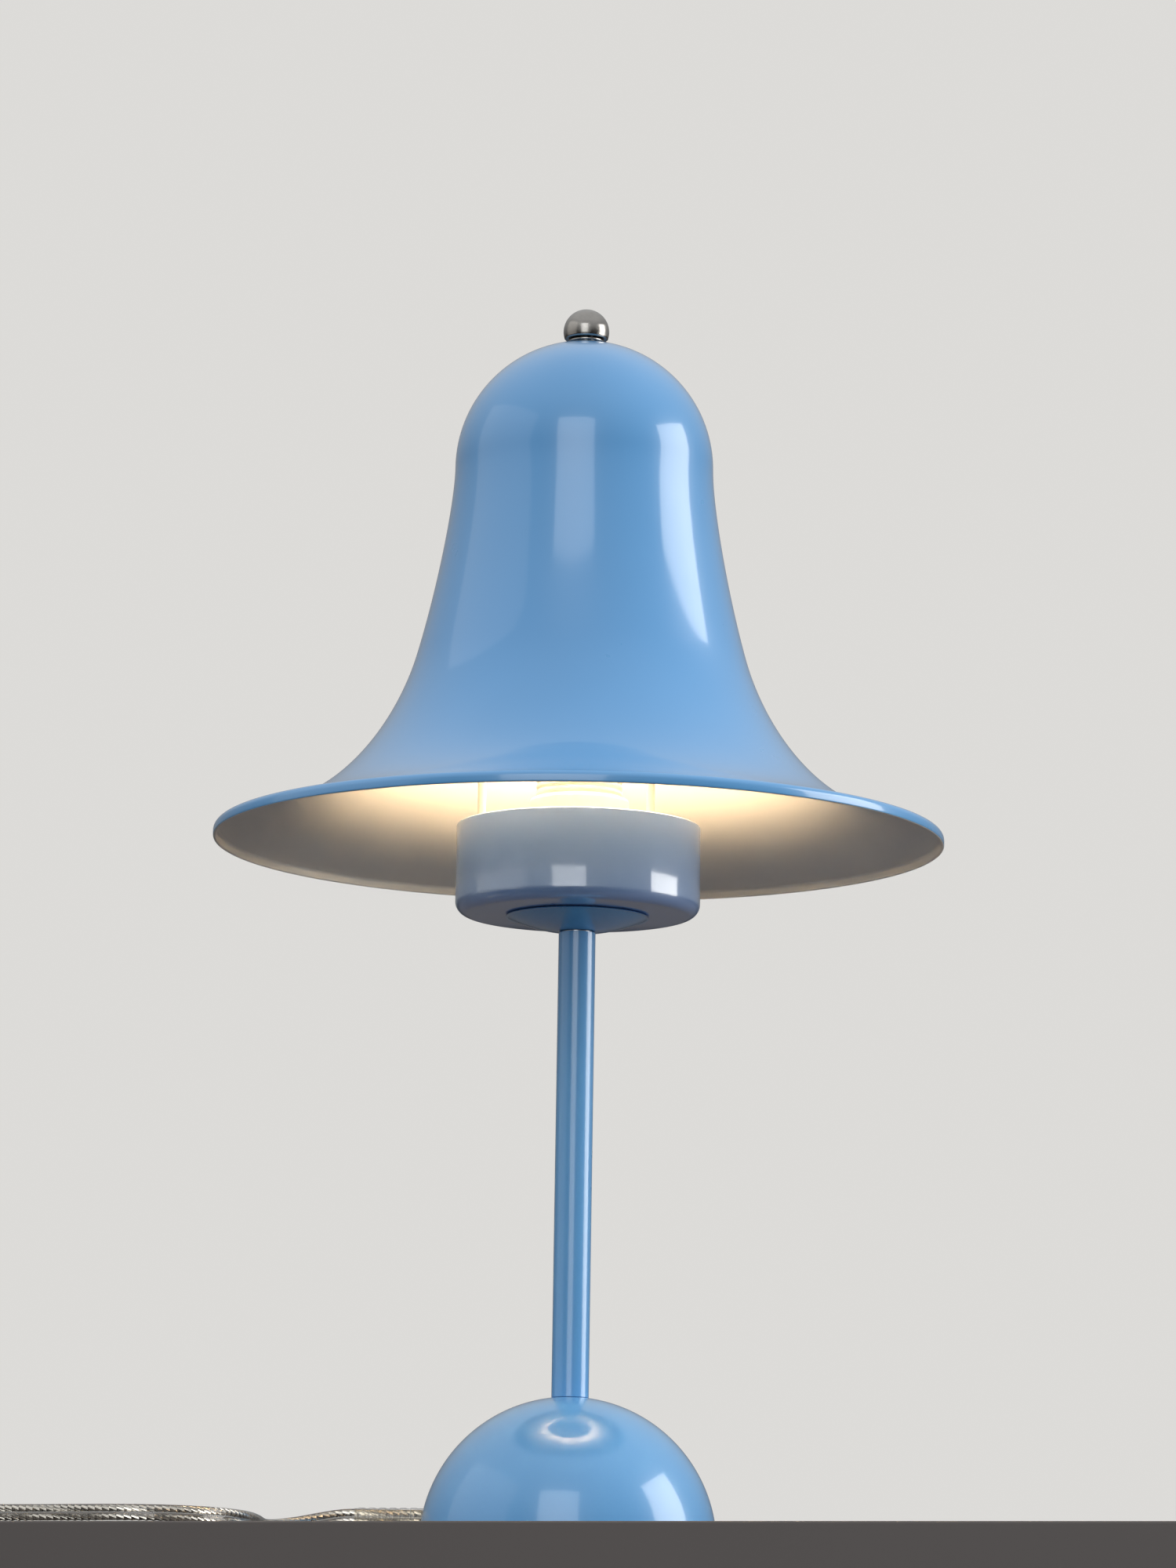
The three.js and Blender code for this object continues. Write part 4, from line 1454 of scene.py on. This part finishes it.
def build_nipple(node: str, bore: float, finishes: Finishes) -> None:
    """Builds a threaded tube in place of a plain one.

    Args:
        node: The plain tube.
        bore: Radius of its bore.
        finishes: The lamp's materials.
    """
    low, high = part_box(node)
    radius = radius_of(node)
    outline = [(bore, low.z), *thread(radius, low.z + 0.0003, high.z - 0.0003, 0.001, 0.0005),
               (radius - 0.0005, high.z), (bore, high.z), (bore, low.z)]
    tube = turned(node + "_threaded", outline, 48)
    hand_over(tube, Body.LAMP, [finishes.zinc], [node])


@dataclass
class StemDishCup:
    """The stem tube, the shallow dish on it, and the cup round the lampholder."""

    stem_foot: float = 0.0458
    stem_bore: float = 0.0044
    nipple_hole: float = 0.0053
    dish_wall: float = 0.0011
    cup_wall: float = 0.0012
    cup_corner: float = 0.004

    def build_stem(self, finishes: Finishes) -> None:
        """Builds the stem with its tapped ends."""
        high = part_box("stem")[1].z
        radius = radius_of("stem")
        outline = [(self.nipple_hole, self.stem_foot + 0.0002), (radius - 0.0001, self.stem_foot),
                   (radius, self.stem_foot + 0.0001), (radius, high + 0.0002),
                   (radius - 0.0001, high + 0.0003), (self.nipple_hole, high + 0.0003),
                   (self.nipple_hole, high - 0.0189),
                   (self.stem_bore, high - 0.0189), (self.stem_bore, self.stem_foot + 0.0187),
                   (self.nipple_hole, self.stem_foot + 0.0187)]
        stem = turned("stem_tube", [*outline, outline[0]], 96)
        hand_over(stem, Body.LAMP, [finishes.blue], ["stem"])

    def build_dish(self, finishes: Finishes) -> None:
        """Builds the dish, a shallow cap of a ball with a round edge."""
        low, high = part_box("dish")
        radius = radius_of("dish")
        sag = high.z - low.z
        curve = (radius**2 + sag**2) / (2 * sag)
        centre = low.z + curve
        inside = curve - self.dish_wall
        to_edge = -90 + math.degrees(math.asin((radius - 0.0004) / curve))
        to_hole = -90 + math.degrees(math.asin(self.nipple_hole / curve))
        outer = arc((0, centre), curve, to_hole, to_edge, 24)
        inner = arc((0, centre), inside, to_edge - 1.2, to_hole, 20)
        brim = [(radius - 0.00005, high.z - 0.0003), (radius - 0.0001, high.z - 0.0001),
                (radius - 0.0003, high.z)]
        outline = [*outer, *brim, *inner]
        dish = turned("dish_pressed", [*outline, outline[0]], 128)
        hand_over(dish, Body.LAMP, [finishes.blue], ["dish"], 50)

    def build_cup(self, finishes: Finishes) -> None:
        """Builds the cup: flat floor, rounded corner, straight wall and round brim."""
        low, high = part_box("cup")
        radius = radius_of("cup")
        flat = radius - self.cup_corner
        corner = (flat, low.z + self.cup_corner)
        half = self.cup_wall / 2
        brim = arc((radius - half, high.z - half), half, 0, 180, 8)
        outline = [(self.nipple_hole, low.z), *arc(corner, self.cup_corner, -90, 0, 14), *brim,
                   *arc(corner, self.cup_corner - self.cup_wall, 0, -90, 10),
                   (self.nipple_hole, low.z + self.cup_wall), (self.nipple_hole, low.z)]
        cup = turned("cup_pressed", outline, 160)
        paint(cup, 1, lambda centre, normal: math.hypot(centre.x, centre.y) < radius - self.cup_wall * 0.9
              and centre.z > low.z + self.cup_wall * 0.9)
        hand_over(cup, Body.LAMP, [finishes.cup_blue, finishes.white], ["cup"], 50)

    def build(self, finishes: Finishes) -> None:
        """Builds the stem, dish and cup, and what holds them together.

        Args:
            finishes: The lamp's materials.
        """
        self.build_stem(finishes)
        self.build_dish(finishes)
        self.build_cup(finishes)
        build_nipple("upper_nipple", 0.0036, finishes)
        dress_node("inner_cable", finishes.clear)
        for node in ("dish_spacer", "carrier_spacer"):
            spacer = ring_like(node, self.nipple_hole)
            hand_over(spacer, Body.LAMP, [finishes.zinc], [node])
        hand_over(refined("cup_nut"), Body.LAMP, [finishes.zinc], ["cup_nut"])


# ---- Shade carrier ----------------------------------------------------------------------------


@dataclass
class Carrier:
    """The three posts between two pressed spiders, and the stud that the shade hangs on."""

    end_radius: float = 0.001
    shoulder: float = 0.0018
    stud_hole: float = 0.0033

    def build_posts(self, finishes: Finishes) -> None:
        """Builds one post, and copies it for the other two."""
        low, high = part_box("post_1")
        radius = radius_of("post_1")
        spider_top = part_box("lower_spider")[1].z + 0.0003
        spider_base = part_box("upper_spider")[0].z - 0.0003
        outline = [(0, low.z), (self.end_radius, low.z), (self.end_radius, spider_top),
                   (radius - 0.0001, spider_top), (radius, spider_top + 0.0001),
                   (radius, spider_base - 0.0001), (radius - 0.0001, spider_base),
                   (self.end_radius, spider_base), (self.end_radius, high.z - 0.0002),
                   (self.end_radius - 0.0002, high.z), (0, high.z)]
        first = turned("post", outline, 32)
        for i in (1, 2, 3):
            node = f"post_{i}"
            a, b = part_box(node)
            post = bpy.data.objects.new(node + "_turned", first.data.copy())
            bpy.context.scene.collection.objects.link(post)
            lay(post, ((a.x + b.x) / 2, (a.y + b.y) / 2, 0))
            hand_over(post, Body.LAMP, [finishes.white], [node])
        bpy.data.objects.remove(first)

    def build_stud(self, finishes: Finishes) -> None:
        """Builds the threaded stud, its sleeve and the soft washer that the shade sits on."""
        low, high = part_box("stud")
        radius = radius_of("stud")
        outline = [(0, low.z), *thread(radius, low.z + 0.0003, high.z - 0.0003, 0.001, 0.00045),
                   (radius - 0.0006, high.z), (0, high.z)]
        stud = turned("stud_threaded", outline, 40)
        hand_over(stud, Body.LAMP, [finishes.zinc], ["stud"])
        sleeve = ring_like("stud_sleeve", self.stud_hole)
        hand_over(sleeve, Body.LAMP, [finishes.zinc], ["stud_sleeve"])
        washer = ring_like("seat_washer", self.stud_hole, chamfer=0.0004)
        hand_over(washer, Body.LAMP, [finishes.rubber], ["seat_washer"])

    def build(self, finishes: Finishes) -> None:
        """Builds the carrier.

        Args:
            finishes: The lamp's materials.
        """
        self.build_posts(finishes)
        self.build_stud(finishes)
        for node in ("lower_spider", "upper_spider", "stud_nut", "post_nut_1", "post_nut_2", "post_nut_3"):
            hand_over(refined(node, 0.0002), Body.LAMP, [finishes.zinc], [node])


# ---- Lampholder and bulb ----------------------------------------------------------------------


@dataclass
class Lampholder:
    """The plastic lampholder: cap, threaded body, ring nut, brass shell and contact."""

    pitch: float = 0.002
    depth: float = 0.0006
    shell_pitch: float = 0.00282

    def build_body(self, finishes: Finishes) -> None:
        """Builds the body with its outside thread."""
        low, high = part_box("holder_body")
        radius = radius_of("holder_body")
        threads = thread(radius, low.z + 0.0045, high.z - 0.002, self.pitch, self.depth)
        outline = [(0.0026, low.z), (radius - 0.0005, low.z), (radius, low.z + 0.0005),
                   (radius, low.z + 0.004), *threads, (radius - self.depth, high.z - 0.0012),
                   (radius - self.depth, high.z - 0.0004), (radius - 0.001, high.z), (0.012, high.z),
                   (0.0117, high.z - 0.0003), (0.0117, 0.2447), (0.0085, 0.2445), (0.0082, 0.2442),
                   (0.0082, 0.2195), (0.0026, 0.2195), (0.0026, low.z)]
        body = turned("holder_body_moulded", outline, 96)
        hand_over(body, Body.LAMP, [finishes.plastic], ["holder_body"], 50)

    def build_ring(self, finishes: Finishes) -> None:
        """Builds the ring nut with its rounded top."""
        low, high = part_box("holder_ring")
        radius = radius_of("holder_ring")
        bore = 0.0139
        crown = 0.0013
        outline = [(bore, low.z), (radius - 0.0003, low.z), (radius, low.z + 0.0003),
                   *arc((radius - crown, high.z - crown), crown, 0, 90, 8), (bore, high.z), (bore, low.z)]
        ring = turned("holder_ring_moulded", outline, 120)
        hand_over(ring, Body.LAMP, [finishes.plastic], ["holder_ring"], 50)

    def build_cap(self, finishes: Finishes) -> None:
        """Builds the cap under the body, with its hollow top."""
        low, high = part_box("holder_cap")
        radius = radius_of("holder_cap")
        bottom = arc((radius - 0.002, low.z + 0.002), 0.002, -90, 0, 8)
        outline = [(0.0052, low.z), *bottom, (radius, high.z), (radius - 0.0016, high.z),
                   (radius - 0.0016, low.z + 0.0021), (0.0052, low.z + 0.0021), (0.0052, low.z)]
        cap = turned("holder_cap_moulded", outline, 80)
        hand_over(cap, Body.LAMP, [finishes.plastic], ["holder_cap"], 50)

    def build_shell(self, finishes: Finishes) -> None:
        """Builds the rolled brass shell that the bulb screws into, and the contact under it."""
        low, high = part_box("holder_shell")
        outer = radius_of("holder_shell")
        wall = 0.0004
        waves = int((high.z - low.z) / self.shell_pitch * 8)
        wavy = []
        for i in range(waves + 1):
            height = low.z + (high.z - low.z) * i / waves
            swell = 0.00016 * math.cos(math.tau * (height - low.z) / self.shell_pitch)
            wavy.append((outer - 0.0002 + swell, height))
        outline = [*wavy, *reversed([(radius - wall, height) for radius, height in wavy]), wavy[0]]
        shell = turned("holder_shell_rolled", outline, 64)
        hand_over(shell, Body.LAMP, [finishes.brass], ["holder_shell"])
        contact_low, contact_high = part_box("holder_contact")
        radius = radius_of("holder_contact")
        dome = [(0, contact_low.z), (radius, contact_low.z), (radius, contact_high.z - 0.0002),
                (radius * 0.5, contact_high.z), (0, contact_high.z)]
        contact = turned("holder_contact_pressed", dome, 40)
        hand_over(contact, Body.LAMP, [finishes.brass], ["holder_contact"])

    def build(self, finishes: Finishes) -> None:
        """Builds the lampholder.

        Args:
            finishes: The lamp's materials.
        """
        self.build_body(finishes)
        self.build_ring(finishes)
        self.build_cap(finishes)
        self.build_shell(finishes)


@dataclass
class Bulb:
    """The screw-in bulb: contact, insulator, threaded cap, housing and lit globe."""

    globe_radius: float = 0.0225
    globe_wall: float = 0.001
    pitch: float = 0.00282

    def build_cap(self, finishes: Finishes) -> None:
        """Builds the rolled screw cap, its insulator and its contact."""
        low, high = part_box("bulb_cap")
        outer = radius_of("bulb_cap")
        wall = 0.0004
        rolled = []
        waves = int((high.z - low.z - 0.003) / self.pitch * 8)
        for i in range(waves + 1):
            height = low.z + i * self.pitch / 8
            swell = 0.00022 * math.cos(math.tau * (height - low.z) / self.pitch)
            rolled.append((outer - 0.00022 + swell, height))
        rolled += [(outer - 0.0003, high.z - 0.0012), (outer, high.z - 0.0008), (outer, high.z)]
        outline = [*rolled, *reversed([(radius - wall, height) for radius, height in rolled]), rolled[0]]
        cap = turned("bulb_cap_rolled", outline, 64)
        hand_over(cap, Body.BULB, [finishes.pin_metal], ["bulb_cap"])
        low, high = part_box("bulb_insulator")
        outline = [(0, low.z), (0.0033, low.z), (0.0036, low.z + 0.0002), (0.0064, high.z - 0.0002),
                   (0.0064, high.z), (0, high.z)]
        insulator = turned("bulb_insulator_moulded", outline, 48)
        hand_over(insulator, Body.BULB, [finishes.black], ["bulb_insulator"])
        low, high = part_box("bulb_contact")
        radius = radius_of("bulb_contact")
        outline = [(0, low.z), (radius * 0.55, low.z + 0.0001), (radius, low.z + 0.0008),
                   (radius, high.z), (0, high.z)]
        contact = turned("bulb_contact_pressed", outline, 40)
        hand_over(contact, Body.BULB_CONTACT, [finishes.brass], ["bulb_contact"])

    def build_housing(self, finishes: Finishes) -> None:
        """Builds the flared plastic housing between cap and globe."""
        low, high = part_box("bulb_housing")
        mouth = radius_of("bulb_housing")
        outer = [(0.0069, low.z), (0.0072, low.z + 0.0005), *bezier(
            [(0.0086, low.z + 0.001), (0.0106, low.z + 0.003), (mouth - 0.001, low.z + 0.009),
             (mouth, high.z)], 14)]
        inner = offset_left(outer[2:], 0.0011)
        outline = [*outer, *reversed(inner), (0.0055, low.z + 0.0012), (0.0055, low.z), outer[0]]
        housing = turned("bulb_housing_moulded", outline, 72)
        hand_over(housing, Body.BULB, [finishes.plastic], ["bulb_housing"])

    def build_globe(self, finishes: Finishes) -> None:
        """Builds the thin opal globe, open where it sits on the housing."""
        low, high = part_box("bulb_globe")
        centre = high.z - self.globe_radius
        inside = self.globe_radius - self.globe_wall
        start = math.degrees(math.asin((low.z - centre) / self.globe_radius))
        start_inside = math.degrees(math.asin((low.z - centre) / inside))
        outline = [*arc((0, centre), inside, 90, start_inside, 36),
                   *arc((0, centre), self.globe_radius, start, 90, 44)]
        globe = turned("bulb_globe_blown", outline, 96)
        hand_over(globe, Body.BULB, [finishes.opal], ["bulb_globe"])

    def build(self, finishes: Finishes) -> None:
        """Builds the bulb.

        Args:
            finishes: The lamp's materials.
        """
        self.build_cap(finishes)
        self.build_housing(finishes)
        self.build_globe(finishes)


# ---- Shade and finial -------------------------------------------------------------------------


@dataclass
class Shade:
    """The spun bell shade, blue outside and white inside, with its turned lip."""

    sheet: float = 0.001
    lip_radius: float = 0.002
    lip_height: float = 0.0038
    dome_radius: float = 0.041
    waist: Point2 = (0.0522, 0.279)
    hole: float = 0.0034

    def outline(self) -> Outline:
        """The closed outline of the sheet, from the lip up the outside and down the inside."""
        low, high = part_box("shade")
        rim = radius_of("shade")
        centre = high.z - self.dome_radius
        flare = (rim - self.lip_radius, low.z + self.lip_height)
        lip = arc((flare[0], flare[1] - self.lip_radius), self.lip_radius, 0, 90, 8)
        skirt = bezier([flare, (0.0781, 0.22625), (0.0588, 0.2559), self.waist], 44)
        shoulder = (self.dome_radius, centre)
        side = bezier([self.waist, (0.0462, 0.3002), (self.dome_radius, 0.329), shoulder], 22)
        top = 90 - math.degrees(math.asin(self.hole / self.dome_radius))
        dome = arc((0, centre), self.dome_radius, 0, top, 34)
        half = self.sheet / 2
        edge = arc((rim - half, low.z + half), half, 180, 360, 8)
        outer = [*edge[1:], *lip, *skirt[1:], *side[1:], *dome[1:]]
        start = len(edge) - 1
        inner = offset_left(outer[start:], self.sheet)
        inner[-1] = (self.hole, inner[-1][1])
        return [edge[0], *outer, *reversed(inner), edge[0]]

    def build(self, finishes: Finishes) -> None:
        """Builds the shade.

        Args:
            finishes: The lamp's materials.
        """
        shade = turned("shade_spun", self.outline(), 224)

        def inside(centre: Vector, normal: Vector) -> bool:
            """Says whether a face is on the white inside."""
            outward = normal.x * centre.x + normal.y * centre.y
            return outward / math.hypot(centre.x, centre.y) + normal.z < -0.15

        paint(shade, 1, inside)
        hand_over(shade, Body.SHADE, [finishes.blue, finishes.white], ["shade"], 50)


@dataclass
class Finial:
    """The brushed steel ball nut on the shade, and the washer under it."""

    ball_radius: float = 0.0073
    bore: float = 0.0033

    def build(self, finishes: Finishes) -> None:
        """Builds the ball and its washer.

        Args:
            finishes: The lamp's materials.
        """
        low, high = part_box("finial")
        centre = high.z - self.ball_radius
        start = math.degrees(math.asin((low.z - centre) / self.ball_radius))
        blind = 0.0049
        outline = [(0, centre + blind), (self.bore, centre + blind - 0.0004), (self.bore, low.z),
                   (self.ball_radius * math.cos(math.radians(start)) - 0.0002, low.z),
                   *arc((0, centre), self.ball_radius, start + 2, 90, 40)]
        ball = turned("finial_ball", outline, 128)
        hand_over(ball, Body.FINIAL, [finishes.steel], ["finial"])
        washer = ring_like("finial_washer", self.bore)
        hand_over(washer, Body.FINIAL_WASHER, [finishes.steel], ["finial_washer"])


def main() -> None:
    """Builds the studio, then the lamp from its flex to its finial."""
    logging.basicConfig(level=logging.INFO, format="%(name)s: %(message)s")
    scene = bpy.context.scene
    scene.view_settings.view_transform = "Standard"
    finishes = Finishes()
    Studio().build()
    flex = Flex()
    flex.build(finishes)
    on_flex = [StrainRelief().build(finishes)]
    on_flex += InlineSwitch().build(finishes)
    on_flex.append(CoilTie().build(flex.coil_centre, finishes))
    on_flex += Plug().build(finishes)
    for part in (Foot(), StemDishCup(), Carrier(), Lampholder(), Bulb(), Shade(), Finial()):
        part.build(finishes)
        LOG.info("%s: built", type(part).__name__)
    clear_selection()


if __name__ == "__main__":
    main()
